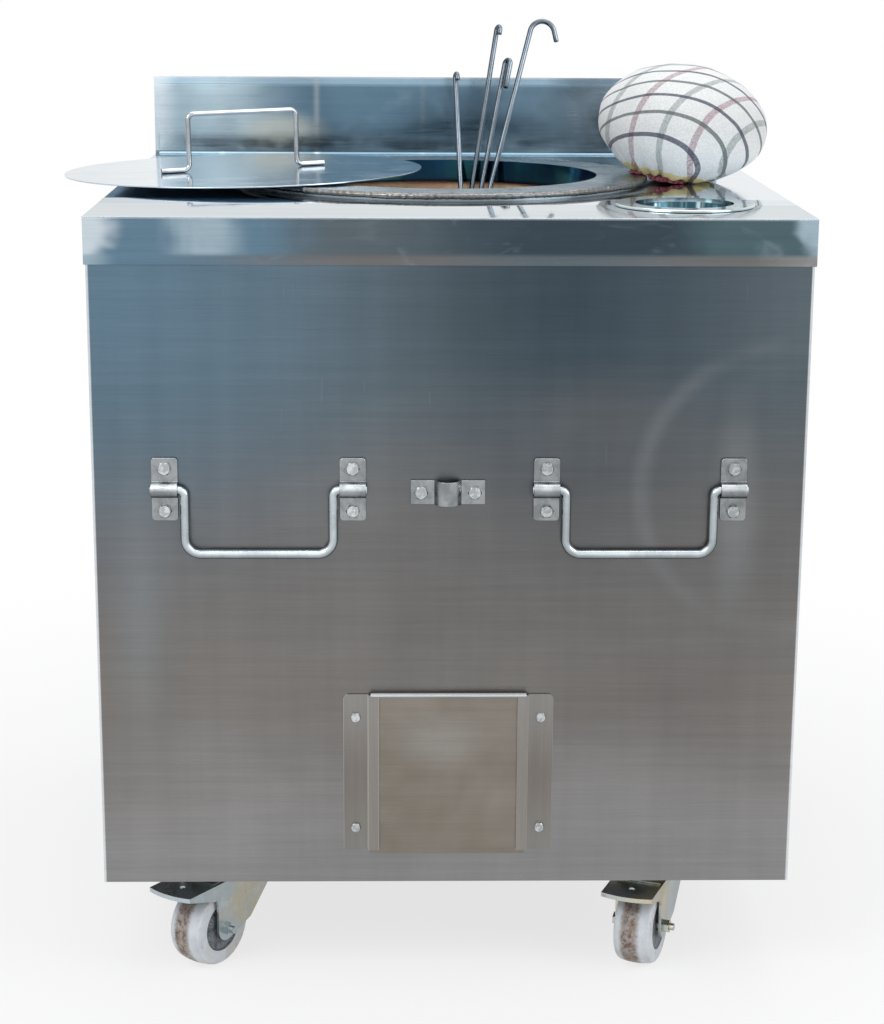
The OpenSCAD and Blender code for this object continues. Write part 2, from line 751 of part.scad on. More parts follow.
// Drop handle: a bent rod whose ends turn outwards into the brackets
module drop_handle(side) {
    color("gainsboro") on_front() translate([side * handle_x, base_z + handle_z, pivot_out]) {
        for (m = [0, 1]) mirror([m, 0, 0]) {
            translate([arm_x + pivot_bend, 0, 0]) rotate([0, 90, 0])
                cylinder(r = handle_r, h = stub_end - arm_x - pivot_bend, $fn = 24);
            translate([arm_x + pivot_bend, -pivot_bend, 0]) rotate([0, 0, 90])
                quarter_bend(pivot_bend, handle_r);
            translate([arm_x, -pivot_bend, 0]) rotate([90, 0, 0])
                cylinder(r = handle_r, h = handle_drop - pivot_bend - handle_bend, $fn = 24);
            translate([arm_x - handle_bend, handle_bend - handle_drop, 0]) rotate([0, 0, -90])
                quarter_bend(handle_bend, handle_r);
            translate([0, -handle_drop, 0]) rotate([0, 90, 0])
                cylinder(r = handle_r, h = arm_x - handle_bend, $fn = 24);
        }
    }
}

// Bent strap with an upright passage for a poker
module tool_loop() {
    out_r = loop_bulge / 2;
    in_r = out_r - loop_t;
    straight = loop_reach - out_r;
    color("gainsboro") on_front() translate([loop_x, base_z + loop_z, 0]) difference() {
        translate([0, loop_h / 2, 0]) rotate([90, 0, 0]) linear_extrude(loop_h) difference() {
            union() {
                translate([-loop_w / 2, 0]) square([loop_w, loop_t]);
                translate([-out_r, 0]) square([loop_bulge, straight]);
                translate([0, straight]) circle(r = out_r);
            }
            translate([0, straight]) circle(r = in_r);
            translate([-in_r, -cut]) square([2 * in_r, straight + cut]);
            translate([-loop_w, -2 * loop_w]) square([2 * loop_w, 2 * loop_w]);
        }
        for (b = sides) translate([b * loop_bolt, 0, -cut])
            cylinder(r = hole_r, h = loop_t + 2 * cut, $fn = 24);
    }
}

// Lid
module on_lid() {
    translate([lid_x, lid_y, lid_z]) rotate([0, -lid_tilt, 0]) children();
}

module lid_disc() {
    color("lightsteelblue") on_lid() cylinder(r = lid_r, h = lid_t, $fn = 128);
}

// Bent rod whose feet are turned outwards and welded to the lid
module lid_handle() {
    r = lid_rod_d / 2;
    half = lid_handle_w / 2;
    leg_h = lid_handle_h - r - 2 * lid_bend;
    color("silver") on_lid() rotate([0, 0, lid_handle_turn]) translate([0, 0, lid_t + r])
        for (m = [0, 1]) mirror([m, 0, 0]) rotate([90, 0, 0]) {
            translate([half + lid_bend, 0, 0]) rotate([0, 90, 0]) cylinder(r = r, h = lid_foot, $fn = 24);
            translate([half + lid_bend, lid_bend, 0]) rotate([0, 0, 180]) quarter_bend(lid_bend, r);
            translate([half, lid_bend, 0]) rotate([-90, 0, 0]) cylinder(r = r, h = leg_h, $fn = 24);
            translate([half - lid_bend, lid_bend + leg_h, 0]) quarter_bend(lid_bend, r);
            translate([0, 2 * lid_bend + leg_h, 0]) rotate([0, 90, 0])
                cylinder(r = r, h = half - lid_bend, $fn = 24);
        }
}

// Drop-in bowl: a hemispherical shell with a flat foot, hung by a rolled rim
module water_bowl() {
    color("silver") translate([bowl_x, bowl_y, top_z + seat_gap]) rotate_extrude($fn = 96) {
        translate([bowl_r - bowl_t, bowl_lip - bowl_t])
            square([bowl_rim_r - bowl_r + bowl_t - bowl_lip / 2, bowl_t]);
        translate([bowl_rim_r - bowl_lip / 2, bowl_lip / 2]) circle(r = bowl_lip / 2, $fn = 24);
        translate([0, bowl_lip]) difference() {
            intersection() {
                circle(r = bowl_r, $fn = 128);
                translate([0, -bowl_depth]) square([bowl_r, bowl_depth]);
            }
            intersection() {
                circle(r = bowl_r - bowl_t, $fn = 128);
                translate([-bowl_r, bowl_t - bowl_depth]) square([2 * bowl_r, 2 * bowl_depth]);
            }
        }
    }
}

// Skewers and hooks: each leans in the mouth, stands on the grate and ends in a half turn
module hook_rod(place_x, lean, top, bend, tail, turn) {
    r = rod_d / 2;
    side = norm(lean);
    run = sqrt(side * side + 1);
    rim_y = sqrt(mouth_r * mouth_r - place_x * place_x) - r * run - rod_rim_gap;
    foot_z = grate_top + seat_gap + r * side / run;
    drop = ring_top - foot_z;
    length = (top_z + top - foot_z) * run;
    dir = [lean[0], lean[1], 1] / run;
    color("slategray") translate([place_x - lean[0] * drop, rim_y - lean[1] * drop, foot_z])
        rotate([-asin(dir[1]), atan2(dir[0], dir[2]), 0]) rotate([0, 0, turn]) {
            cylinder(r = r, h = length, $fn = 24);
            translate([bend, 0, length]) rotate([90, 0, 0]) rotate_extrude(angle = 180)
                translate([bend, 0]) circle(r = r, $fn = 24);
            translate([2 * bend, 0, length - tail]) cylinder(r = r, h = tail, $fn = 24);
        }
}

module short_skewer() {
    hook_rod(short_skewer_x, short_skewer_lean, short_skewer_top, curl_r, short_curl_tail,
        short_curl_turn);
}

module long_skewer() {
    hook_rod(long_skewer_x, long_skewer_lean, long_skewer_top, curl_r, long_curl_tail,
        long_curl_turn);
}

module narrow_hook() {
    hook_rod(narrow_hook_x, narrow_hook_lean, narrow_hook_top, narrow_bend_r, narrow_tail, 0);
}

module wide_hook() {
    hook_rod(wide_hook_x, wide_hook_lean, wide_hook_top, wide_bend_r, wide_tail, 0);
}

// Cushion: a flattened ball of cloth whose gathered opening faces down and to the left
function cushion_point(t, a, ripple) = let (
    x = sin(t) * cos(a), z = -cos(t),
    side = x * cos(gather_tilt) + z * sin(gather_tilt),
    up = z * cos(gather_tilt) - x * sin(gather_tilt),
    r = cushion_r + ripple)
    [r * side, r * sin(t) * sin(a), up * (up > 0 ? cushion_crown : cushion_belly)];
function cushion_ring(t) = let (fade = max(0, 1 - (t - gather_angle) / pleat_end))
    [for (i = [0 : cushion_segs - 1]) let (a = 360 * i / cushion_segs)
        cushion_point(t, a, pleat * cos(pleats * a) * fade * fade)];
function dish_ring() = [for (i = [0 : cushion_segs - 1])
    cushion_point(gather_angle * dish_share, 360 * i / cushion_segs, 0) + [0, 0, dish_lift]];
function cushion_points() = concat([cushion_point(0, 0, 0) + [0, 0, dish_lift]], dish_ring(),
    [for (k = [0 : cushion_rings - 1])
        each cushion_ring(gather_angle + (180 - gather_angle) * k / cushion_rings)],
    [cushion_point(180, 0, 0)]);

module on_cushion() {
    translate([cushion_x, cushion_y, cushion_z]) children();
}

module cushion_cover() {
    points = cushion_points();
    last = len(points) - 1;
    rings = (last - 1) / cushion_segs;
    n = cushion_segs;
    faces = concat(
        [for (i = [0 : n - 1]) [0, 1 + i, 1 + (i + 1) % n]],
        [for (k = [0 : rings - 2]) for (i = [0 : n - 1])
            let (a = 1 + k * n + i, b = 1 + k * n + (i + 1) % n) each [[a, a + n, b], [b, a + n, b + n]]],
        [for (i = [0 : n - 1]) let (k = 1 + (rings - 1) * n) [k + i, last, k + (i + 1) % n]]);
    color("ivory") on_cushion() polyhedron(points, faces);
}

module cushion_hem() {
    color("brown") on_cushion() translate(hem_centre) rotate([0, hem_slope, 0])
        translate([0, 0, -hem_drop]) rotate_extrude($fn = 64)
            translate([hem_ring_r, 0]) circle(r = hem_r, $fn = 24);
}

// Castors
module at_castor(i) {
    translate([castor_at[i][0], castor_at[i][1], 0]) rotate([0, 0, castor_turn[i]]) children();
}

module plate_holes(c) {
    for (sx = sides) for (sy = sides)
        translate([c[0] + sx * plate_bolt_x / 2, c[1] + sy * plate_bolt_y / 2, 0]) children();
}

module castor_plate(i) {
    c = castor_at[i];
    color("lightgray") difference() {
        union() {
            translate([c[0], c[1], plate_z]) linear_extrude(plate_t)
                rounded_rect(plate_w, plate_d, plate_corner_r);
            translate([c[0], c[1], plate_z - race_h]) cylinder(r = race_r, h = race_h);
            translate([c[0], c[1], crown_z - race_gap]) cylinder(r = kingpin_r, h = plate_z - crown_z);
            translate([c[0], c[1], crown_z - race_gap - kingpin_head_h])
                cylinder(r = kingpin_head_r, h = kingpin_head_h);
        }
        plate_holes(c) translate([0, 0, plate_z - cut]) cylinder(r = hole_r, h = plate_t + 2 * cut, $fn = 24);
    }
}

module castor_bolts() {
    shank = plate_t + base_t + nut_h;
    color("silver") for (c = castor_at) plate_holes(c) {
        translate([0, 0, plate_z]) rotate([180, 0, 0]) hex_bolt(bolt_r, bolt_af, bolt_head, shank);
        translate([0, 0, base_z + base_t]) hex_nut(bolt_r, bolt_af, nut_h);
    }
}

// Pressed fork: a crown with two broad cheeks that sweep down to the axle
module fork_cheek() {
    translate([-trail, wheel_r]) circle(r = boss_r);
    polygon([[-fork_front, crown_top], [fork_back, crown_top], [fork_back, fork_heel_z], fork_knee,
        [boss_r * cos(boss_leave) - trail, wheel_r + boss_r * sin(boss_leave)], [-trail, wheel_r],
        [-trail - boss_r, wheel_r], [-trail - boss_r, fork_neck_z]]);
}

module castor_fork(i) {
    color("lightgray") at_castor(i) difference() {
        union() {
            translate([0, 0, crown_z]) linear_extrude(fork_t) {
                circle(r = head_r);
                translate([-fork_half, -fork_front]) square([2 * fork_half, fork_front + fork_back]);
            }
            for (m = [0, 1]) mirror([m, 0, 0]) translate([cheek_x, 0, 0]) rotate([90, 0, 90])
                linear_extrude(fork_t) difference() {
                    fork_cheek();
                    translate([-trail, wheel_r]) circle(r = axle_r + bolt_clear);
                    translate([pedal_pin_y, pedal_z]) circle(r = pedal_pin_r + pin_clear, $fn = 24);
                }
        }
        translate([0, 0, crown_z - cut]) cylinder(r = kingpin_r + pin_clear, h = fork_t + 2 * cut);
    }
}

// Axle bolt with its sleeve through the hub and its nut
module castor_axle(i) {
    sleeve = 2 * cheek_x;
    color("silver") at_castor(i) translate([0, -trail, wheel_r]) rotate([0, 90, 0]) {
        translate([0, 0, -sleeve / 2]) cylinder(r = sleeve_r, h = sleeve);
        translate([0, 0, -fork_half]) cylinder(r = axle_r, h = 2 * fork_half + nut_h + axle_end);
        translate([0, 0, -fork_half - bolt_head]) cylinder(r = bolt_af / 2 / cos(30), h = bolt_head, $fn = 6);
        translate([0, 0, fork_half]) cylinder(r = bolt_af / 2 / cos(30), h = nut_h, $fn = 6);
    }
}

module castor_wheel(i) {
    color("ivory") at_castor(i) translate([0, -trail, wheel_r]) rotate([0, 90, 0]) rotate_extrude($fn = 96)
        difference() {
            intersection() {
                translate([0, -wheel_w / 2]) square([wheel_r, wheel_w]);
                translate([wheel_r - crown_r, 0]) circle(r = crown_r, $fn = 128);
                union() {
                    square([2 * wheel_r, wheel_w - 2 * wheel_edge_r], center = true);
                    square([2 * (wheel_side_r), wheel_w], center = true);
                    for (s = sides) translate([wheel_side_r, s * (wheel_w / 2 - wheel_edge_r)])
                        circle(r = wheel_edge_r);
                }
            }
            translate([-cut, -wheel_w]) square([wheel_bore_r + cut, 2 * wheel_w]);
            for (s = sides) translate([0, s * wheel_w / 2])
                square([2 * hub_cap_r, 2 * recess], center = true);
        }
}

module hub_caps(i) {
    inner = wheel_w / 2 - recess;
    color("dimgray") at_castor(i) translate([0, -trail, wheel_r]) rotate([0, 90, 0])
        for (z = [inner, -inner - cap_t]) translate([0, 0, z]) difference() {
            cylinder(r = hub_cap_r - cap_clear, h = cap_t);
            translate([0, 0, -cut]) cylinder(r = sleeve_r + cap_bore_clear, h = cap_t + 2 * cut);
        }
}

// Outline of the pedal's plate, drawn in by a distance: straight sides and a rounded front
module pedal_outline(inset) {
    intersection() {
        translate([-pedal_half + inset, -pedal_reach])
            square([2 * (pedal_half - inset), pedal_reach - fork_front - cut]);
        translate([0, pedal_nose_r - pedal_reach]) circle(r = pedal_nose_r - inset, $fn = 128);
    }
}

// Brake pedal: a pressed channel that straddles the fork, on a cross pin, with a turned-down lip
module castor_brake(i) {
    color("silver") at_castor(i) {
        translate([-pedal_half, pedal_pin_y, pedal_z]) rotate([0, 90, 0])
            cylinder(r = pedal_pin_r, h = 2 * pedal_half, $fn = 24);
        difference() {
            union() {
                translate([0, 0, pedal_top - pedal_lip]) linear_extrude(pedal_lip) difference() {
                    pedal_outline(0);
                    pedal_outline(pedal_t);
                }
                translate([0, 0, pedal_top - pedal_t]) linear_extrude(pedal_t) pedal_outline(0);
            }
            translate([0, pedal_hole_y, pedal_top - pedal_lip])
                cylinder(r = pedal_hole_r, h = pedal_lip + cut);
        }
        for (m = [0, 1]) mirror([m, 0, 0]) translate([pedal_half - pedal_t, 0, 0]) rotate([90, 0, 90])
            linear_extrude(pedal_t) polygon([[-pedal_corner_y, pedal_top],
                [-pedal_corner_y, pedal_top - pedal_lip], [-fork_front, pedal_wall_low],
                [pedal_wall_end, pedal_wall_low + pedal_lip], [pedal_wall_end, pedal_top]]);
    }
}

place() front_panel();
place() mirror([1, 0, 0]) side_panel();  // left_panel
place() side_panel();  // right_panel
place() rear_panel();
place() base_plate();
place() base_frame();
place() corner_posts();
place() worktop();
place() backsplash();
place() mouth_ring();
place() ring_weld();
place() clay_pot();
place() pot_bed();
place() insulation();
place() ash_duct();
place() ash_grate();
place() mirror([1, 0, 0]) door_rail();  // left_door_rail
place() door_rail();  // right_door_rail
place() rail_bolts();
place() handle_bolts();
place() handle_brackets(-1);  // left_handle_brackets
place() handle_brackets(1);  // right_handle_brackets
place() tool_loop();
place() castor_bolts();
place() ash_door();
place() drop_handle(-1);  // left_handle
place() drop_handle(1);  // right_handle
place() lid_disc();
place() lid_handle();
place() water_bowl();
place() short_skewer();
place() long_skewer();
place() narrow_hook();
place() wide_hook();
place() cushion_cover();
place() cushion_hem();
place() castor_plate(0);  // front_left_plate
place() castor_plate(1);  // front_right_plate
place() castor_plate(2);  // rear_left_plate
place() castor_plate(3);  // rear_right_plate
place() castor_fork(0);  // front_left_fork
place() castor_fork(1);  // front_right_fork
place() castor_fork(2);  // rear_left_fork
place() castor_fork(3);  // rear_right_fork
place() castor_axle(0);  // front_left_axle
place() castor_axle(1);  // front_right_axle
place() castor_axle(2);  // rear_left_axle
place() castor_axle(3);  // rear_right_axle
place() castor_wheel(0);  // front_left_wheel
place() castor_wheel(1);  // front_right_wheel
place() castor_wheel(2);  // rear_left_wheel
place() castor_wheel(3);  // rear_right_wheel
place() hub_caps(0);  // front_left_hub_caps
place() hub_caps(1);  // front_right_hub_caps
place() hub_caps(2);  // rear_left_hub_caps
place() hub_caps(3);  // rear_right_hub_caps
place() castor_brake(0);  // front_left_brake
place() castor_brake(1);  // front_right_brake
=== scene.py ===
"""The looks of the tandoor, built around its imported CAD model."""
import json
import math
import random

import bmesh
import bpy
from mathutils import Matrix, Vector, noise

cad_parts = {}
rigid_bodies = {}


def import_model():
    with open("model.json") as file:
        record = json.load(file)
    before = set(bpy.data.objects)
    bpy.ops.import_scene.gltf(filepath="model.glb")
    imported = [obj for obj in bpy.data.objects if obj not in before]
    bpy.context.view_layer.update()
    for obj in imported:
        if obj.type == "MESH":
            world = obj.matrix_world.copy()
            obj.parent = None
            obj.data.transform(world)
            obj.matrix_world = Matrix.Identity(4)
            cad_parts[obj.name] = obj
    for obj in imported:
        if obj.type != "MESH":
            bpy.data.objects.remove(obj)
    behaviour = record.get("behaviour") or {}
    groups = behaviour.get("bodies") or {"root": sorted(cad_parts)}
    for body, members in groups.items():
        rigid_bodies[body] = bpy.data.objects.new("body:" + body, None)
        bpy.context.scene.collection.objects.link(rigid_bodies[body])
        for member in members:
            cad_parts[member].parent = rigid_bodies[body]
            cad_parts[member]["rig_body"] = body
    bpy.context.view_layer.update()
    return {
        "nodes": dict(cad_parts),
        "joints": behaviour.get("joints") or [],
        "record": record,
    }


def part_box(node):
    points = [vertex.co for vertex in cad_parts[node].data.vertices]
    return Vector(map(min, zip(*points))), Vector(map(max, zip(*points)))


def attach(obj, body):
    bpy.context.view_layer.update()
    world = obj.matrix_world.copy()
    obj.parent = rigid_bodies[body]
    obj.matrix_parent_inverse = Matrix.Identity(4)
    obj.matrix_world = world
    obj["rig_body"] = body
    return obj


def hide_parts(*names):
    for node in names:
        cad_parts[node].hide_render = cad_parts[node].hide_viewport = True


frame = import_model()
NODES = frame["nodes"]
SLOTS = {s["node"]: s["material_slot"] for s in frame["record"]["subparts"]}
CASTORS = ("front_left", "front_right", "rear_left", "rear_right")
MM = 0.001

# The cabinet's middle, its underside and its worktop, in the row frame
WORKTOP_LOW, WORKTOP_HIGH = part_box("worktop")
MID_X = (WORKTOP_LOW.x + WORKTOP_HIGH.x) / 2
MID_Y = (WORKTOP_LOW.y + WORKTOP_HIGH.y) / 2
TOP_Z = WORKTOP_HIGH.z
BASE_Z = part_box("base_plate")[0].z

# Sizes in millimetres, as the part's source has them, and a radius within the collar's sheet
SKIRT_H, BACKSPLASH_H, FOLD_H = 50, 103, 10
RING_R, RING_TOP, COLLAR_R = 239, 862, 183.1

# The photograph's camera: degrees, pixels, and millimetres from the cabinet's middle
PITCH, YAW, ROLL = 13.82, 1.34, 0.36
LENS_PX, PHOTO_PX, SENSOR_MM = 2268, 1024, 36
CAMERA_PLACE = (-63, -2725, 1116)


def at(x, y, z):
    """A point given in millimetres from the cabinet's middle and the floor."""
    return (MID_X + x * MM, MID_Y + y * MM, z * MM)


# Material builder
class Material:
    """A small builder for one Principled material and its node tree."""

    def __init__(self, name):
        self.name = name
        self.mat = bpy.data.materials.new(name)
        self.mat.use_nodes = True
        self.tree = self.mat.node_tree
        self.tree.nodes.clear()
        self.out = self.node("ShaderNodeOutputMaterial")
        self.shader = self.node("ShaderNodeBsdfPrincipled")
        self.link(self.shader.outputs[0], self.out.inputs["Surface"])
        self.coord = self.node("ShaderNodeTexCoord").outputs["Object"]

    def node(self, kind, **values):
        made = self.tree.nodes.new(kind)
        for key, value in values.items():
            setattr(made, key, value)
        return made

    def link(self, a, b):
        self.tree.links.new(a, b)

    def set(self, socket, value):
        """Puts a number, a colour or another node's output on a socket."""
        if isinstance(value, bpy.types.NodeSocket):
            self.link(value, socket)
        elif isinstance(value, (tuple, list)) and len(value) == 3 and socket.type == "RGBA":
            socket.default_value = (*value, 1)
        else:
            socket.default_value = value

    def principled(self, **values):
        for key, value in values.items():
            self.set(self.shader.inputs[key.replace("_", " ")], value)

    def scaled(self, scale, shift=(0, 0, 0), turn=(0, 0, 0)):
        """The object's coordinates in metres, shifted, turned and scaled."""
        mapping = self.node("ShaderNodeMapping")
        self.link(self.coord, mapping.inputs["Vector"])
        mapping.inputs["Location"].default_value = shift
        mapping.inputs["Rotation"].default_value = turn
        mapping.inputs["Scale"].default_value = scale
        return mapping.outputs[0]

    def noise(self, scale, detail=3, rough=0.5, distort=0, vector=None, seed=0):
        made = self.node("ShaderNodeTexNoise", noise_dimensions="4D")
        self.link(vector or self.coord, made.inputs["Vector"])
        made.inputs["W"].default_value = seed
        made.inputs["Scale"].default_value = scale
        made.inputs["Detail"].default_value = detail
        made.inputs["Roughness"].default_value = rough
        made.inputs["Distortion"].default_value = distort
        return made.outputs["Fac"]

    def math(self, operation, a, b=0.0, clamp=False):
        made = self.node("ShaderNodeMath", operation=operation, use_clamp=clamp)
        for socket, value in zip(made.inputs, (a, b)):
            self.set(socket, value)
        return made.outputs[0]

    def times(self, a, b):
        return self.math("MULTIPLY", a, b)

    def plus(self, a, b):
        return self.math("ADD", a, b)

    def minus(self, a, b):
        return self.math("SUBTRACT", a, b)

    def fit(self, value, low, high, to_low=0.0, to_high=1.0, smooth=True):
        """The value's place between low and high, from to_low to to_high."""
        made = self.node("ShaderNodeMapRange", interpolation_type="SMOOTHSTEP" if smooth else "LINEAR")
        for socket, number in zip(made.inputs, (value, low, high, to_low, to_high)):
            self.set(socket, number)
        return made.outputs[0]

    def mix(self, share, a, b, blend="MIX"):
        made = self.node("ShaderNodeMix", data_type="RGBA", blend_type=blend)
        self.set(made.inputs[0], share)
        self.set(made.inputs[6], a)
        self.set(made.inputs[7], b)
        return made.outputs[2]

    def split(self, vector=None):
        made = self.node("ShaderNodeSeparateXYZ")
        self.link(vector or self.coord, made.inputs[0])
        return made.outputs

    def blob(self, centre, radii, sharp=0.0):
        """1 at a centre, falling to 0 at the radii of an ellipsoid round it."""
        scale = tuple(1 / r for r in radii)
        shift = tuple(-c / r for c, r in zip(centre, radii))
        length = self.node("ShaderNodeVectorMath", operation="LENGTH")
        self.link(self.scaled(scale, shift), length.inputs[0])
        return self.fit(length.outputs["Value"], sharp, 1, 1, 0)

    def bump(self, height, strength, distance, normal=None):
        made = self.node("ShaderNodeBump")
        made.inputs["Strength"].default_value = strength
        made.inputs["Distance"].default_value = distance
        self.set(made.inputs["Height"], height)
        if normal is not None:
            self.link(normal, made.inputs["Normal"])
        return made.outputs[0]

    def scratches(self, turn, seed, spacing=0.04):
        """Hair lines along one direction of the surface, broken into patches, as 0 to 1."""
        along = self.scaled((1, 1, 0.03), (seed, seed, seed), turn)
        lines = self.noise(1 / spacing, 1, 0.5, vector=along, seed=seed)
        edge = self.math("ABSOLUTE", self.minus(lines, 0.5))
        line = self.fit(edge, 0, 0.006, 1, 0)
        gate = self.fit(self.noise(16, 2, seed=seed + 3), 0.66, 0.71)
        return self.times(line, gate)

    def ramp(self, value, low, high, stops, blend="EASE"):
        """Colours along a value from low to high: stops are (share, colour) in order."""
        made = self.node("ShaderNodeValToRGB")
        self.link(self.fit(value, low, high, smooth=False), made.inputs[0])
        points = made.color_ramp.elements
        made.color_ramp.interpolation = blend
        while len(points) < len(stops):
            points.new(0.5)
        for point, (place, colour) in zip(points, stops):
            point.position = place
            point.color = (*colour, 1)
        return made.outputs[0]

    def grey(self, value):
        """The same number on all three colour channels."""
        made = self.node("ShaderNodeCombineXYZ")
        for socket in made.inputs:
            self.link(value, socket)
        return made.outputs[0]

    def band(self, value, low, high, soft):
        """1 where the value lies between low and high."""
        above = self.fit(value, low - soft, low + soft)
        return self.times(above, self.fit(value, high - soft, high + soft, 1, 0))

    def facing(self, direction):
        """How far the surface faces a direction, from -1 to 1."""
        dot = self.node("ShaderNodeVectorMath", operation="DOT_PRODUCT")
        self.link(self.node("ShaderNodeNewGeometry").outputs["Normal"], dot.inputs[0])
        dot.inputs[1].default_value = Vector(direction).normalized()
        return dot.outputs["Value"]

    def shaded(self, base, direction, stops):
        """Painted light and shade: the base made lighter or darker by how far it faces a direction, with
        (facing, factor) stops.
        """
        halves = [((place + 1) / 2, (factor / 2,) * 3) for place, factor in stops]
        half = self.ramp(self.facing(direction), -1, 1, halves, "LINEAR")
        twice = self.mix(1.0, half, (2, 2, 2), "MULTIPLY")
        return self.mix(1.0, base, twice, "MULTIPLY")

    def distance(self, a, b, centre):
        """How far the point a, b lies from a centre."""
        across, up = self.minus(a, centre[0]), self.minus(b, centre[1])
        return self.math("SQRT", self.plus(self.times(across, across), self.times(up, up)))

    def polar(self, centre):
        """Distance from an upright axis, and height, both in metres."""
        x, y, z = self.split()
        return self.distance(x, y, centre), z


def brushed(m, base, rough=0.3, grain=(0.02, 1, 1), grain_depth=0.05, mottle=0.12, scratch=0.12,
            smudge=0.08, streaks=0.0, normal=None):
    """Dresses a material as brushed stainless steel over a base colour."""
    grain_fine = m.noise(900, 2, 0.6, vector=m.scaled(grain))
    grain_wide = m.noise(140, 3, 0.6, vector=m.scaled(grain), seed=4)
    cloud = m.noise(3.2, 3, 0.55, 0.4, seed=7)
    smear = m.noise(14, 4, 0.6, 0.8, seed=9)
    light = m.fit(cloud, 0.3, 0.7, 1 - mottle, 1 + mottle)
    light = m.times(light, m.fit(grain_wide, 0.25, 0.75, 0.95, 1.05))
    light = m.times(light, m.fit(grain_fine, 0.25, 0.75, 0.96, 1.04))
    if streaks:
        bands = m.noise(26, 3, 0.6, vector=m.scaled((1, 1, 0.05)), seed=15)
        light = m.times(light, m.fit(bands, 0.3, 0.7, 1 - streaks, 1 + streaks))
    base = m.mix(1.0, base, m.grey(light), "MULTIPLY")
    lines = m.math("MAXIMUM", m.scratches((0.5, 0.9, 0.3), 1.3), m.scratches((1.2, -0.4, 0.8), 5.1, 0.03))
    base = m.mix(m.times(lines, scratch), base, (0.82, 0.84, 0.86))
    roughness = m.plus(rough, m.fit(smear, 0.35, 0.7, -smudge, smudge))
    roughness = m.math("ADD", roughness, m.fit(grain_fine, 0.2, 0.8, -0.04, 0.04), clamp=True)
    height = m.plus(m.times(grain_fine, 0.6), m.times(grain_wide, 0.4))
    m.principled(Base_Color=base, Metallic=1.0, Roughness=roughness,
                 Normal=m.bump(height, grain_depth, 0.0004, normal))
    return m


def matte(name, colour, rough, patch, patch_share=0.3, metallic=0.0):
    """A plain dull surface with patches of a second colour and a fine bump."""
    m = Material(name)
    wide = m.noise(30, 4, 0.6, 0.3)
    fine = m.noise(360, 3, 0.6, seed=2)
    share = m.times(m.fit(wide, 0.4, 0.65), patch_share)
    base = m.mix(share, colour, patch)
    base = m.mix(m.times(m.fit(fine, 0.45, 0.7), 0.25), base, tuple(c * 0.6 for c in colour))
    m.principled(Base_Color=base, Metallic=metallic,
                 Roughness=m.fit(wide, 0.2, 0.8, rough - 0.08, min(1, rough + 0.08)),
                 Normal=m.bump(m.plus(wide, m.times(fine, 0.4)), 0.3, 0.0006))
    return m


# Camera, light and floor
def put(name, data):
    """A new object with this data, placed in the scene."""
    made = bpy.data.objects.new(name, data)
    bpy.context.scene.collection.objects.link(made)
    return made


def make_camera():
    """The photograph's viewpoint, found from the worktop's corners, the panel's edges and the ring."""
    pitch, yaw, roll = (math.radians(angle) for angle in (PITCH, YAW, ROLL))
    forward = Vector((math.sin(yaw) * math.cos(pitch), math.cos(yaw) * math.cos(pitch),
                      -math.sin(pitch)))
    right = Vector((math.cos(yaw), -math.sin(yaw), 0))
    up = right.cross(forward)
    right, up = (math.cos(roll) * right + math.sin(roll) * up,
                 -math.sin(roll) * right + math.cos(roll) * up)
    data = bpy.data.cameras.new("camera")
    data.sensor_width = SENSOR_MM
    data.lens = LENS_PX / PHOTO_PX * SENSOR_MM
    camera = put("camera", data)
    turn = Matrix((right, up, -forward)).transposed().to_4x4()
    camera.matrix_world = Matrix.Translation(at(*CAMERA_PLACE)) @ turn
    bpy.context.scene.camera = camera


def add_area(name, place, target, size, power):
    """A rectangular lamp of a size and power that aims from its place at a target."""
    data = bpy.data.lights.new(name, "AREA")
    data.shape = "RECTANGLE"
    data.size, data.size_y = size
    data.energy = power
    lamp = put(name, data)
    aim = (Vector(target) - Vector(place)).to_track_quat("-Z", "Y")
    lamp.matrix_world = Matrix.Translation(place) @ aim.to_matrix().to_4x4()


def seen_directly(tree):
    """1 for camera, glossy and transmission rays, which see the white background."""
    path = tree.nodes.new("ShaderNodeLightPath")
    share = path.outputs["Is Camera Ray"]
    for name in ("Is Glossy Ray", "Is Transmission Ray"):
        both = tree.nodes.new("ShaderNodeMath")
        both.operation = "MAXIMUM"
        tree.links.new(share, both.inputs[0])
        tree.links.new(path.outputs[name], both.inputs[1])
        share = both.outputs[0]
    return share


def make_world():
    """White to the camera and in reflections, and a soft grey light on the object."""
    world = bpy.data.worlds.new("studio")
    world.use_nodes = True
    bpy.context.scene.world = world
    tree = world.node_tree
    back = tree.nodes["Background"]
    mix = tree.nodes.new("ShaderNodeMix")
    mix.data_type = "RGBA"
    tree.links.new(seen_directly(tree), mix.inputs[0])
    mix.inputs[6].default_value = (0.52, 0.53, 0.55, 1)
    mix.inputs[7].default_value = (1, 1, 1, 1)
    tree.links.new(mix.outputs[2], back.inputs["Color"])


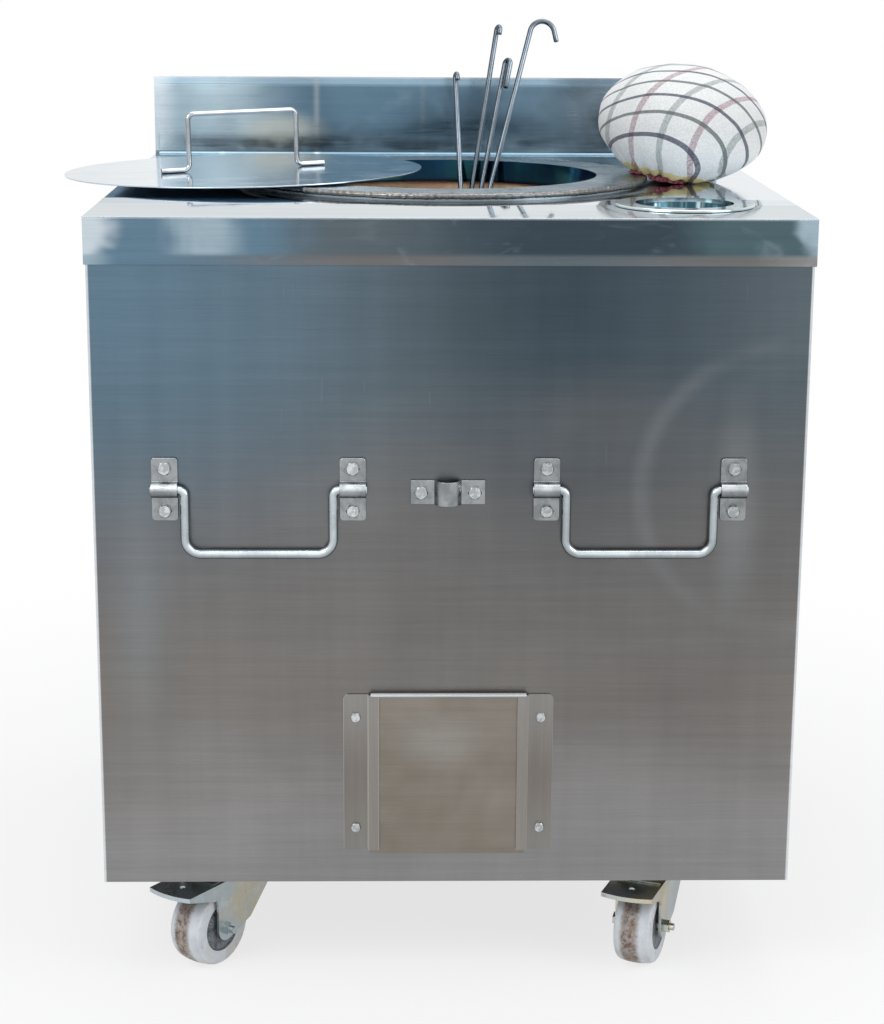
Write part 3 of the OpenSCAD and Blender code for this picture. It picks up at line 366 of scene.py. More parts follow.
def make_floor():
    """A pale floor that keeps the object's shadow and fades into the white background."""
    mesh = bpy.data.meshes.new("floor")
    half = 12
    corners = ((-half, -half), (half, -half), (half, half), (-half, half))
    mesh.from_pydata([(x, y, 0) for x, y in corners], [], [(0, 1, 2, 3)])
    floor = put("floor", mesh)
    m = Material("pale_floor")
    m.principled(Base_Color=(0.82, 0.82, 0.82), Roughness=0.9, Specular_IOR_Level=0.2)
    glow = m.node("ShaderNodeEmission")
    glow.inputs["Color"].default_value = (1, 1, 1, 1)
    far = m.node("ShaderNodeVectorMath", operation="LENGTH")
    m.link(m.coord, far.inputs[0])
    share = m.fit(far.outputs["Value"], 0.5, 1.5, 0.75, 1)
    share = m.times(share, seen_directly(m.tree))
    both = m.node("ShaderNodeMixShader")
    m.link(share, both.inputs[0])
    m.link(m.shader.outputs[0], both.inputs[1])
    m.link(glow.outputs[0], both.inputs[2])
    m.link(both.outputs[0], m.out.inputs["Surface"])
    mesh.materials.append(m.mat)


def make_stage():
    make_camera()
    make_world()
    make_floor()
    add_area("key", (-1.9, -2.2, 2.9), (0, 0, 0.7), (1.8, 1.8), 52)
    add_area("fill", (2.3, -1.6, 1.9), (0, 0, 0.6), (1.6, 2.0), 26)
    add_area("top", (0.2, 0.5, 3.2), (0, 0, 0.8), (2.2, 2.2), 34)
    bpy.context.scene.view_settings.view_transform = "Standard"


# Metal, clay and plastic, by the name of a slot or of a node
SHINE = {}
# Painted highlight colour for the sheets' folds and edges
PAINTED_EDGE_HIGHLIGHT = (0.80, 0.83, 0.86)

# Painted reflection tones, as of a bright yard under an open sky, which the sheets take on
SKY, PALE, BLUE = (0.60, 0.68, 0.74), (0.34, 0.45, 0.52), (0.13, 0.22, 0.30)
SLATE, DARK, TEAL = (0.11, 0.14, 0.16), (0.045, 0.066, 0.086), (0.08, 0.13, 0.15)
FOOT, WARM, GREY = (0.26, 0.255, 0.255), (0.19, 0.18, 0.172), (0.16, 0.158, 0.158)


def panel_steel():
    """Front and side sheets with painted reflections: slate above, warm grey below, pale at the foot, and a
    painted highlight at the folds.
    """
    m = Material("panel_steel")
    x, y, z = m.split()
    height = m.plus(z, m.fit(m.noise(2.2, 2, 0.5, 0.6, seed=21), 0.3, 0.7, -0.03, 0.03))
    # Painted reflection tones by height: pale at the foot, then warm grey and grey, then slate towards the
    # top
    base = m.ramp(height, BASE_Z, TOP_Z, [
        (0.0, FOOT), (0.08, FOOT), (0.28, WARM), (0.5, GREY), (0.78, SLATE), (1.0, SLATE)])
    in_front = m.fit(m.facing((0, -1, 0)), 0.3, 0.7)
    # Painted reflections: soft patches of blue, dark and grey on the faces towards the front
    for centre, radii, colour, share in (
            (at(-381, -379, 830), (0.46, 1, 0.44), BLUE, 0.85),
            (at(130, -379, 825), (0.29, 1, 0.42), DARK, 0.95),
            (at(165, -379, 640), (0.16, 1, 0.07), GREY, 0.35),
            (at(305, -379, 540), (0.035, 1, 0.16), (0.26, 0.28, 0.29), 0.55),
            (at(-330, -379, 430), (0.05, 1, 0.20), (0.22, 0.25, 0.27), 0.4),
            (at(-120, -379, 560), (0.10, 1, 0.05), (0.20, 0.21, 0.215), 0.3),
            (at(250, -379, 330), (0.12, 1, 0.10), (0.15, 0.14, 0.14), 0.4)):
        patch = m.times(m.blob(centre, radii), m.times(in_front, share))
        base = m.mix(patch, base, colour)
    away = m.distance(x, z, at(358, 0, 562)[::2])
    worn = m.fit(m.noise(6, 2, 0.5, seed=23), 0.35, 0.6, 0.1, 0.4)
    arc = m.times(m.band(away, 0.150, 0.160, 0.012), worn)
    base = m.mix(m.times(arc, in_front), base, (0.24, 0.26, 0.275))
    # Painted highlight along the bent corners of the sheets
    half = (WORKTOP_HIGH.x - WORKTOP_LOW.x) / 2 - 2 * MM
    off_x = m.math("ABSOLUTE", m.minus(x, MID_X))
    off_y = m.math("ABSOLUTE", m.minus(y, MID_Y))
    inner, outer = half - 3.2 * MM, half - 1.6 * MM
    corner = m.times(m.fit(off_x, inner, outer), m.fit(off_y, inner, outer))
    base = m.mix(m.times(corner, 0.75), base, PAINTED_EDGE_HIGHLIGHT)
    return brushed(m, base, 0.34, mottle=0.07, scratch=0.04, streaks=0.035)


def worktop_steel():
    """A mirror-like top that bows down towards its front edge, over a darker skirt, with painted
    reflections on both, painted glints and a painted edge highlight on the skirt, and painted shade on the
    fold.
    """
    m = Material("worktop_steel")
    x, y, z = m.split()
    left, right = WORKTOP_LOW.x, WORKTOP_HIGH.x
    cloudy = m.plus(x, m.fit(m.noise(9, 3, 0.6, 0.8, seed=38), 0.3, 0.7, -0.018, 0.018))
    # Painted reflection tones along the skirt, pale at its left, dark and teal towards its right, and other
    # tones along its lower edge
    skirt = m.ramp(cloudy, left, right, [
        (0.0, SKY), (0.045, BLUE), (0.10, BLUE), (0.16, PALE), (0.22, BLUE), (0.33, SLATE), (0.62, DARK),
        (0.78, DARK), (0.88, TEAL), (0.97, TEAL), (1.0, PALE)])
    foot = m.ramp(x, left, right, [
        (0.0, PALE), (0.05, BLUE), (0.4, GREY), (0.65, SLATE), (0.9, GREY), (1.0, FOOT)])
    low = TOP_Z - SKIRT_H * MM
    skirt = m.mix(m.fit(z, low + 0.008, low + 0.014, 1, 0), skirt, foot)
    # Painted glints on the skirt
    glint = m.noise(16, 3, 0.6, 1.2, vector=m.scaled((1, 1, 2.0)), seed=31)
    skirt = m.mix(m.fit(glint, 0.55, 0.75, 0, 0.18), skirt, (0.38, 0.46, 0.52))
    # Painted highlight along the skirt's top edge
    skirt = m.mix(m.fit(z, TOP_Z - 0.0030, TOP_Z - 0.0015, 0, 0.3), skirt, PAINTED_EDGE_HIGHLIGHT)
    on_top = m.fit(z, TOP_Z - 0.0012, TOP_Z - 0.0004)
    bend, border = at(0, -196, 0)[1], at(0, -254, 0)[1]
    front = m.fit(y, border + 0.002, border - 0.002)
    # Painted reflection tones on the top, with a different tone on its front strip
    top = m.ramp(x, left, right, [(0.0, PALE), (0.4, SKY), (1.0, SKY)])
    top = m.mix(front, top, m.mix(m.noise(5, 2, 0.5, seed=37), (0.51, 0.57, 0.61), (0.60, 0.65, 0.68)))
    base = m.mix(on_top, skirt, top)
    # Painted shade on the rounded front fold, where it turns away from above
    fold = m.times(on_top, m.fit(m.facing((0, 0, 1)), 0.97, 0.90))
    base = m.mix(fold, base, (0.30, 0.35, 0.38))
    bow = m.plus(m.times(m.math("MAXIMUM", m.minus(bend, y), 0), -0.05),
                 m.times(m.math("MAXIMUM", m.minus(border, y), 0), -0.035))
    bow = m.bump(m.times(bow, on_top), 1, 1)
    stained = m.fit(m.polar(at(0, 0, 0))[0], 0.246, 0.268, 0.2, 0)
    rough = m.plus(m.fit(on_top, 0, 1, 0.26, 0.07), m.times(stained, on_top))
    return brushed(m, base, rough, mottle=0.04, scratch=0.05, smudge=0.03, grain_depth=0.02, normal=bow)


def backsplash_steel():
    """The upright back sheet with painted reflections: cloudy at its left, blue in the middle, a painted
    highlight along its folded top and painted shade along its foot.
    """
    m = Material("backsplash_steel")
    x, _, z = m.split()
    # Painted reflection tones across the sheet
    base = m.ramp(x, WORKTOP_LOW.x, WORKTOP_HIGH.x, [
        (0.0, SKY), (0.05, PALE), (0.13, PALE), (0.28, BLUE), (0.58, BLUE), (1.0, PALE)])
    # Lighter bluish clouds of painted reflection
    smear = m.noise(9, 4, 0.6, 0.8, seed=17)
    base = m.mix(m.fit(smear, 0.5, 0.75, 0, 0.3), base, (0.40, 0.54, 0.62))
    fold = TOP_Z + (BACKSPLASH_H - FOLD_H) * MM
    # Painted highlight along the folded top and its edge
    base = m.mix(m.times(m.fit(z, fold - 0.004, fold + 0.002), 0.65), base, (0.44, 0.62, 0.76))
    base = m.mix(m.fit(z, fold + 0.0072, fold + 0.0088, 0, 0.5), base, PAINTED_EDGE_HIGHLIGHT)
    # A lighter painted reflection above the foot, then painted shade along the foot
    base = m.mix(m.fit(z, TOP_Z + 0.010, TOP_Z + 0.038, 0.3, 0), base, (0.42, 0.56, 0.64))
    base = m.mix(m.fit(z, TOP_Z + 0.0035, TOP_Z + 0.0045, 0.65, 0), base, (0.10, 0.17, 0.22))
    # Patches of painted reflection
    for centre, radii, colour, share in (
            (at(-215, 379, 882), (0.085, 1, 0.034), (0.62, 0.64, 0.58), 0.75),
            (at(-285, 379, 900), (0.06, 1, 0.05), (0.50, 0.64, 0.71), 0.55),
            (at(-290, 379, 942), (0.07, 1, 0.02), (0.56, 0.72, 0.80), 0.6),
            (at(-381, 379, 955), (0.035, 1, 0.03), (0.75, 0.84, 0.90), 0.8),
            (at(215, 379, 915), (0.06, 1, 0.06), (0.52, 0.62, 0.68), 0.4)):
        base = m.mix(m.times(m.blob(centre, radii, 0.2), share), base, colour)
    for place, share in ((-291, 0.25), (-163, 0.5), (-20, 0.12)):
        streak = m.band(x, at(place, 0, 0)[0] - 0.003, at(place, 0, 0)[0] + 0.003, 0.004)
        base = m.mix(m.times(streak, share), base, (0.50, 0.55, 0.57))
    return brushed(m, base, 0.2, mottle=0.10, scratch=0.12, smudge=0.06)


def ring_steel():
    """The ring's heat-tinted top, its outer wall with a painted contact shadow at its foot, and its glossy
    collar, blue inside with painted teal reflections, and navy below.
    """
    m = Material("ring_steel")
    radius, z = m.polar(at(0, 0, 0))
    heat = m.noise(9, 3, 0.5, 0.5, seed=41)
    base = m.mix(m.fit(heat, 0.35, 0.65), (0.33, 0.40, 0.44), (0.21, 0.265, 0.295))
    near_weld = m.times(m.fit(radius, 0.228, 0.239), m.fit(m.noise(45, 3, seed=43), 0.3, 0.6, 0.1, 0.7))
    base = m.mix(near_weld, base, (0.13, 0.12, 0.11))
    wall = m.times(m.fit(radius, 0.20, 0.21),
                   m.fit(z, RING_TOP * MM - 0.0035, RING_TOP * MM - 0.0030, 1, 0))
    base = m.mix(wall, base, (0.25, 0.29, 0.31))
    # Painted contact shadow along the foot of the wall
    contact_shadow = m.times(wall, m.fit(z, TOP_Z + 0.0008, TOP_Z + 0.0014, 1, 0))
    base = m.mix(contact_shadow, base, (0.12, 0.15, 0.17))
    inside = m.fit(radius, (COLLAR_R - 0.3) * MM, (COLLAR_R + 0.3) * MM, 1, 0)
    # Painted teal reflections on the glossy collar
    glow = m.fit(m.noise(11, 3, 0.5, 0.4, vector=m.scaled((1, 1, 0.3)), seed=45), 0.46, 0.62)
    blued = m.mix(glow, (0.035, 0.18, 0.46), (0.07, 0.44, 0.62))
    blued = m.mix(m.fit(z, RING_TOP * MM - 0.022, RING_TOP * MM - 0.026), blued, (0.03, 0.06, 0.12))
    base = m.mix(inside, base, blued)
    rough = m.fit(inside, 0, 1, 0.26, 0.16)
    return brushed(m, base, rough, (1, 1, 1), mottle=0.08, scratch=0.1, smudge=0.04)


def clay():
    """Fired clay, much darker lower down and orange-brown under the collar."""
    m = Material("clay")
    z = m.split()[2]
    wide = m.noise(14, 4, 0.6, 0.5)
    fine = m.noise(160, 3, 0.65, seed=2)
    base = m.mix(m.fit(wide, 0.35, 0.65), (0.78, 0.49, 0.30), (0.92, 0.66, 0.44))
    base = m.mix(m.times(m.fit(z, TOP_Z - 0.20, TOP_Z - 0.06, 1, 0), 0.85), base, (0.055, 0.04, 0.035))
    base = m.mix(m.times(m.fit(fine, 0.5, 0.72), 0.3), base, (0.26, 0.14, 0.08))
    height = m.plus(wide, m.times(fine, 0.4))
    m.principled(Base_Color=base, Roughness=0.88, Specular_IOR_Level=0.25,
                 Normal=m.bump(height, 0.5, 0.001))
    return m


def weld_metal():
    """Grey beads with fine bright spatter and burnt flecks, painted lighter on top and darker underneath.
    """
    m = Material("weld_metal")
    spatter = m.noise(620, 3, 0.7, 0.4, seed=33)
    burnt = m.noise(230, 3, 0.6, 0.5, seed=34)
    base = m.mix(m.fit(m.noise(9, 2, 0.5, seed=35), 0.4, 0.62), (0.185, 0.19, 0.193),
                 (0.16, 0.15, 0.138))
    base = m.mix(m.fit(spatter, 0.56, 0.66, 0, 0.8), base, (0.58, 0.59, 0.59))
    base = m.mix(m.fit(burnt, 0.52, 0.66, 0, 0.75), base, (0.085, 0.08, 0.075))
    # Painted light and shade: lighter where the bead faces up, darker where it faces down
    base = m.shaded(base, (0, 0, 1), [(-1.0, 0.3), (-0.3, 0.55), (0.2, 1.0), (1.0, 1.15)])
    return brushed(m, base, 0.36, (1, 1, 1), mottle=0.12, grain_depth=0.35, scratch=0)


def bar_steel(name, colour, rough=0.24, side=(0, -0.83, 0.55), low=0.3, high=1.8):
    """Round bright steel: painted shade where it turns away, with a painted highlight along its shoulder.
    """
    m = Material(name)
    base = m.mix(m.fit(m.noise(30, 3, 0.6, seed=81), 0.35, 0.65), colour, tuple(c * 0.8 for c in colour))
    # Painted shade and highlight by how far the bar faces the given side
    base = m.shaded(base, side, [(-1.0, low), (0.0, low * 1.5), (0.45, 0.7), (0.72, 0.95), (0.86, 1.25),
                                 (0.95, high), (1.0, high)])
    return brushed(m, base, rough, (1, 1, 1), mottle=0.06, scratch=0.08, smudge=0.05, grain_depth=0.02)


def bracket_steel():
    """Folded straps: mid grey flats, a painted highlight on each roll and painted shade beneath it."""
    m = Material("bracket_steel")
    patch = m.noise(60, 3, 0.6, 0.4, seed=83)
    base = m.mix(m.fit(patch, 0.38, 0.62), (0.25, 0.27, 0.28), (0.36, 0.38, 0.39))
    # Painted highlight where the straps face up and forward, painted shade where they turn away
    base = m.shaded(base, (0, -0.75, 0.66), [
        (-1.0, 0.25), (0.1, 0.35), (0.45, 0.75), (0.75, 0.95), (0.86, 1.5), (0.95, 2.0), (1.0, 2.0)])
    return brushed(m, base, 0.3, (1, 1, 1), mottle=0.08, scratch=0.12, smudge=0.05, grain_depth=0.03)


def bolt_steel():
    """Hexagon heads with painted highlights on their upper flats and painted shade on their lower ones."""
    m = Material("bolt_steel")
    base = m.mix(m.fit(m.noise(240, 2, 0.6, seed=85), 0.42, 0.6), (0.38, 0.40, 0.41), (0.58, 0.60, 0.61))
    # Painted highlights on the upper flats, painted shade on the lower ones
    base = m.shaded(base, (-0.35, -0.25, 0.9), [
        (-1.0, 0.1), (-0.45, 0.2), (0.1, 0.9), (0.3, 1.1), (0.6, 1.7), (0.85, 1.5)])
    return brushed(m, base, 0.24, (1, 1, 1), mottle=0.15, scratch=0.1)


def door_steel():
    """The ash door: warm grey with a paler patch near its top, and a painted highlight on its folded lip.
    """
    m = Material("door_steel")
    y = m.split()[1]
    low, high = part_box("ash_door")
    cloud = m.fit(m.noise(7, 3, 0.5, 0.6, seed=77), 0.35, 0.65)
    base = m.mix(cloud, (0.275, 0.25, 0.22), (0.22, 0.195, 0.165))
    middle = (low.x + high.x) / 2
    base = m.mix(m.times(m.blob((middle - 0.012, low.y, high.z - 0.055), (0.07, 1, 0.045)), 0.5), base,
                 (0.36, 0.36, 0.345))
    # Painted highlight on the lip's up-facing faces
    lip = m.fit(y, low.y + 0.008, low.y + 0.0075)
    lip = m.times(lip, m.fit(m.facing((0, -0.4, 1)), 0.3, 0.5))
    base = m.mix(lip, base, (0.80, 0.88, 0.92))
    brushed(m, base, m.fit(lip, 0, 1, 0.36, 0.5), mottle=0.06, scratch=0.04)
    m.principled(Metallic=m.fit(lip, 0, 1, 1, 0.3))
    return m


def rail_steel(node):
    """A door rail: a flat flange, and a raised channel with a painted highlight on its bends."""
    m = Material(node + "_steel")
    _, y, z = m.split()
    low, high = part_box(node)
    base = m.ramp(z, low.z, high.z, [
        (0.0, (0.25, 0.24, 0.225)), (0.5, (0.21, 0.19, 0.175)), (1.0, (0.26, 0.255, 0.245))])
    raised = m.fit(y, (low.y + high.y) / 2 + 0.0008, (low.y + high.y) / 2 - 0.0008)
    base = m.mix(m.times(raised, 0.6), base, (0.30, 0.285, 0.265))
    # Painted highlight on the bends, where the faces turn sideways
    side = m.math("ABSOLUTE", m.facing((1, 0, 0)))
    base = m.mix(m.fit(side, 0.15, 0.6), base, (0.62, 0.61, 0.58))
    return brushed(m, base, 0.34, (1, 1, 0.03), mottle=0.06, scratch=0.04)


def lid_steel():
    """The mirror lid: painted sky reflection, pale over most of its top and bluer at its right, and dull
    blue underneath.
    """
    m = Material("lid_steel")
    x = m.split()[0]
    low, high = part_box("lid_disc")
    # Painted sky reflection across the top
    base = m.ramp(x, low.x, high.x, [
        (0.0, (0.50, 0.58, 0.65)), (0.35, SKY), (0.62, SKY), (1.0, (0.42, 0.58, 0.70))])
    under = m.fit(m.facing((0, 0, 1)), -0.3, -0.5)
    base = m.mix(under, base, (0.22, 0.38, 0.54))
    brushed(m, base, m.fit(under, 0, 1, 0.13, 0.6), mottle=0.04, scratch=0.08, smudge=0.04,
            grain_depth=0.02)
    m.principled(Metallic=m.fit(under, 0, 1, 1, 0.0))
    return m


def bowl_steel():
    """The bright bowl: a deep teal well of painted reflection with painted highlights running down its
    sides, and a pale rim.
    """
    m = Material("bowl_steel")
    low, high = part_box("water_bowl")
    centre = (low + high) / 2
    radius, z = m.polar(centre)
    x, y, _ = m.split()
    turn = m.math("ARCTAN2", m.minus(y, centre.y), m.minus(x, centre.x))
    around = m.node("ShaderNodeCombineXYZ")
    m.link(m.math("COSINE", turn), around.inputs[0])
    m.link(m.math("SINE", turn), around.inputs[1])
    # Painted highlights running down the well's sides, set by the angle round the bowl
    light = m.noise(3.4, 3, 0.7, 0.4, vector=around.outputs[0], seed=66)
    well = m.mix(m.fit(light, 0.52, 0.64), (0.035, 0.10, 0.13), (0.55, 0.70, 0.76))
    well = m.mix(m.fit(light, 0.46, 0.36, 0, 0.7), well, (0.16, 0.34, 0.40))
    well = m.mix(m.times(m.blob(tuple(centre + Vector((0.055, 0, 0))), (0.03, 0.04, 1)), 0.7), well,
                 (0.34, 0.26, 0.19))
    rim = m.mix(m.fit(m.noise(12, 2, 0.5, seed=67), 0.4, 0.6), (0.46, 0.54, 0.57), (0.62, 0.69, 0.71))
    inside = m.times(m.fit(radius, 0.0560, 0.0575, 1, 0), m.fit(z, high.z - 0.0035, high.z - 0.005))
    base = m.mix(inside, rim, well)
    return brushed(m, base, 0.09, (1, 1, 1), mottle=0.03, scratch=0.06, smudge=0.03, grain_depth=0.01)


def castor_zinc():
    """Zinc plate: blue-white, yellowed, dulled and stained in places, with painted light on faces towards
    the upper front and painted shade on the others.
    """
    m = Material("castor_zinc")
    patch = m.noise(13, 2, 0.5, 0.5, seed=51)
    bloom = m.noise(60, 4, 0.6, 0.4, seed=52)
    base = m.mix(m.fit(patch, 0.40, 0.66), (0.43, 0.49, 0.52), (0.52, 0.47, 0.34))
    base = m.mix(m.fit(bloom, 0.5, 0.75, 0, 0.45), base, (0.62, 0.67, 0.68))
    base = m.mix(m.fit(m.noise(45, 3, 0.6, seed=55), 0.60, 0.72, 0, 0.5), base, (0.22, 0.17, 0.12))
    # Painted light towards the upper front, painted shade elsewhere
    base = m.shaded(base, (-0.2, -0.6, 0.75), [
        (-1.0, 0.5), (0.0, 0.75), (0.5, 1.0), (0.8, 1.3), (1.0, 1.5)])
    return brushed(m, base, 0.34, (1, 1, 1), grain_depth=0.03, mottle=0.08, scratch=0.15)


def joint(name):
    """Centre and axis of a joint, in the row frame: a sliding joint has no centre."""
    found = next(j for j in frame["joints"] if j["name"] == name)
    return Vector(found.get("pos_m", (0, 0, 0))), Vector(found["axis"]).normalized()


def about_axle(m, centre, axis):
    """Signed distance along a castor's axle, distance from it, and place from its centre."""
    shifted = m.node("ShaderNodeVectorMath", operation="SUBTRACT")
    m.link(m.coord, shifted.inputs[0])
    shifted.inputs[1].default_value = centre
    along = m.node("ShaderNodeVectorMath", operation="DOT_PRODUCT")
    m.link(shifted.outputs[0], along.inputs[0])
    along.inputs[1].default_value = axis
    length = m.node("ShaderNodeVectorMath", operation="LENGTH")
    m.link(shifted.outputs[0], length.inputs[0])
    along, length = along.outputs["Value"], length.outputs["Value"]
    radial = m.math("SQRT", m.minus(m.times(length, length), m.times(along, along)))
    return along, radial, shifted.outputs[0]


def wheel_nylon(castor):
    """Milky nylon with a band of ground-in dirt round the tread."""
    m = Material(castor + "_nylon")
    along, radial, _ = about_axle(m, *joint(castor + "_roll"))
    grime = m.noise(55, 4, 0.65, 0.5, seed=61)
    spots = m.noise(240, 3, 0.6, seed=62)
    offset = m.math("ABSOLUTE", m.plus(along, 0.002))
    tread = m.times(m.fit(radial, 0.038, 0.043), m.fit(offset, 0.013, 0.006, 0, 1))
    dirt = m.times(tread, m.fit(grime, 0.25, 0.6, 0.45, 1))
    base = m.mix(m.fit(grime, 0.35, 0.7), (0.72, 0.76, 0.80), (0.62, 0.66, 0.69))
    stain = m.noise(24, 3, 0.6, 0.5, seed=63)
    base = m.mix(m.fit(stain, 0.5, 0.72, 0, 0.55), base, (0.62, 0.53, 0.42))
    base = m.mix(m.times(dirt, 0.9), base, (0.24, 0.155, 0.105))
    base = m.mix(m.times(dirt, m.fit(spots, 0.48, 0.62)), base, (0.13, 0.085, 0.06))
    base = m.mix(m.fit(m.noise(110, 3, seed=64), 0.60, 0.72, 0, 0.4), base, (0.40, 0.33, 0.28))
    m.principled(Base_Color=base, Roughness=m.fit(grime, 0.3, 0.7, 0.38, 0.55), Subsurface_Weight=0.15,
                 Subsurface_Scale=0.004, Normal=m.bump(spots, 0.15, 0.0004))
    return m


def cap_plastic(castor):
    """A moulded hub cap with a radial sheen and dust."""
    m = Material(castor + "_cap")
    centre, axis = joint(castor + "_roll")
    _, radial, place = about_axle(m, centre, axis)
    across = m.node("ShaderNodeVectorMath", operation="DOT_PRODUCT")
    m.link(place, across.inputs[0])
    across.inputs[1].default_value = axis.cross(Vector((0, 0, 1)))
    angle = m.math("ARCTAN2", m.split(place)[2], across.outputs["Value"])
    ribs = m.math("SINE", m.times(angle, 36))
    dust = m.noise(150, 4, 0.6, seed=71)
    base = m.mix(m.fit(dust, 0.36, 0.62), (0.05, 0.062, 0.078), (0.21, 0.23, 0.25))
    base = m.mix(m.fit(ribs, -1, 1, 0, 0.35), base, (0.03, 0.036, 0.045))
    base = m.mix(m.fit(radial, 0.0255, 0.0270, 0, 0.7), base, (0.02, 0.022, 0.026))
    m.principled(Base_Color=base, Roughness=m.fit(dust, 0.3, 0.7, 0.35, 0.6),
                 Normal=m.bump(m.plus(ribs, m.times(dust, 1.5)), 0.4, 0.0004))
    return m


def make_materials():
    """Makes every material and keeps it by the name of its slot or of its one node."""
    for make in (panel_steel, worktop_steel, backsplash_steel, ring_steel, clay, castor_zinc, door_steel,
                 bolt_steel, weld_metal, lid_steel, bowl_steel, hem_cloth):
        made = make()
        SHINE[made.name] = made
    SHINE["frame_steel"] = matte("frame_steel", (0.05, 0.05, 0.052), 0.6, (0.12, 0.09, 0.07), 0.4,
                                 metallic=0.2)
    for rail in ("left_door_rail", "right_door_rail"):
        SHINE[rail] = rail_steel(rail)
    SHINE["handle_steel"] = bar_steel("handle_steel", (0.44, 0.49, 0.52))
    SHINE["tool_loop"] = bracket_steel()
    SHINE["left_handle_brackets"] = SHINE["right_handle_brackets"] = SHINE["tool_loop"]
    SHINE["lid_handle"] = bar_steel("lid_handle_steel", (0.38, 0.41, 0.44), 0.2, high=1.5)
    SHINE["refractory"] = matte("refractory", (0.5, 0.47, 0.42), 0.9, (0.3, 0.28, 0.25))
    SHINE["insulation_wool"] = matte("insulation_wool", (0.55, 0.49, 0.34), 0.95, (0.4, 0.35, 0.25))
    SHINE["grate_iron"] = matte("grate_iron", (0.035, 0.034, 0.033), 0.7, (0.12, 0.07, 0.04), 0.4,
                                metallic=0.6)
    SHINE["rod_steel"] = bar_steel("rod_steel", (0.145, 0.175, 0.205), 0.28, (0.5, -0.75, 0.2), 0.35, 2.0)
    SHINE["cushion_cloth"] = check_cotton()
    for castor in CASTORS:
        SHINE[castor + "_wheel"] = wheel_nylon(castor)
        SHINE[castor + "_hub_caps"] = cap_plastic(castor)


# Made pieces
def smooth(piece, on=True):
    """Shades a piece's faces smooth, or flat."""
    piece.data.polygons.foreach_set("use_smooth", [on] * len(piece.data.polygons))


def grid_faces(rows, across, first=0, ring=False, tube=True):
    """Faces between rows of points: a ring joins its last row to its first, a tube the ends of each row."""
    faces = []
    for i in range(rows if ring else rows - 1):
        step = ((i + 1) % rows - i) * across
        for k in range(across if tube else across - 1):
            a, b = first + i * across + k, first + i * across + (k + 1) % across
            faces.append((a, a + step, b + step, b))
    return faces


def new_piece(name, verts, faces, body, slot):
    """A smooth mesh that rides a body and wears the material of its slot."""
    mesh = bpy.data.meshes.new(name)
    mesh.from_pydata(verts, [], faces)
    mesh.validate()
    piece = put(name, mesh)
    smooth(piece)
    mesh.materials.append(SHINE[slot].mat)
    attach(piece, body)
    return piece


def apply_modifiers(piece):
    """Bakes a piece's modifiers into its mesh."""
    graph = bpy.context.evaluated_depsgraph_get()
    mesh = bpy.data.meshes.new_from_object(piece.evaluated_get(graph))
    piece.modifiers.clear()
    piece.data = mesh


# Angles in degrees: faces within the first are one face, and edges beyond the second are rounded
FLAT_ANGLE, SHARP_ANGLE = 0.5, 35


def rounded(node, width, flat=False):
    """A copy of a node with its sharp edges rounded by width millimetres, which stands for it."""
    source = NODES[node]
    piece = put(node + "_rounded", source.data.copy())
    mesh = bmesh.new()
    mesh.from_mesh(piece.data)
    bmesh.ops.remove_doubles(mesh, verts=mesh.verts, dist=0.00001)
    bmesh.ops.dissolve_limit(mesh, angle_limit=math.radians(FLAT_ANGLE), verts=mesh.verts, edges=mesh.edges)
    mesh.to_mesh(piece.data)
    mesh.free()
    smooth(piece, not flat)
    bevel = piece.modifiers.new("bevel", "BEVEL")
    bevel.width = width * MM
    bevel.segments = 2
    bevel.limit_method = "ANGLE"
    bevel.angle_limit = math.radians(SHARP_ANGLE)
    if not flat:
        normals = piece.modifiers.new("normals", "WEIGHTED_NORMAL")
        normals.weight = 100
    apply_modifiers(piece)
    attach(piece, source["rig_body"])
    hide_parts(node)


def weld_bead():
    """The rough bead round the ring's edge, laid in short overlapping scales."""
    chance = random.Random(4)
    steps, arc = 900, 8
    bulge = [chance.uniform(-0.35, 0.45) for _ in range(steps)]
    lift = [chance.uniform(-0.3, 0.3) for _ in range(steps)]
    verts = []
    for i in range(steps):
        turn = 2 * math.pi * i / steps
        scale = 0.45 * abs(math.sin(steps / 5 * turn / 2 + 2 * math.sin(turn * 7)))
        size = 2.8 + scale + bulge[i] * 0.6 + 0.4 * math.sin(turn * 23) * math.sin(turn * 9)
        angles = [math.radians(-90 + 180 * k / arc) for k in range(arc + 1)]
        points = [(size * math.cos(a), size * 1.02 * math.sin(a) + lift[i] * 0.5) for a in angles]
        points += [(-1.2, size * 0.9), (-1.2, -size * 0.9)]
        for out, up in points:
            r = RING_R + out
            verts.append(at(r * math.cos(turn), r * math.sin(turn), RING_TOP - 3.2 + up))
    faces = grid_faces(steps, len(points), ring=True)
    bead = new_piece("weld_bead", verts, faces, "cabinet", "weld_metal")
    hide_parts("ring_weld")


# Skewers and hooks: height of the shank over the worktop, bend radius, angle, free end and turn
RODS = {
    "short_skewer": (110, 4.2, 180, 5, -74),
    "long_skewer": (171, 4.2, 180, 5.5, -65),
    "narrow_hook": (130, 4.6, 180, 31, -50),
    "wide_hook": (171, 15.5, 153, 14, 0)}
ROD_R = 0.00325


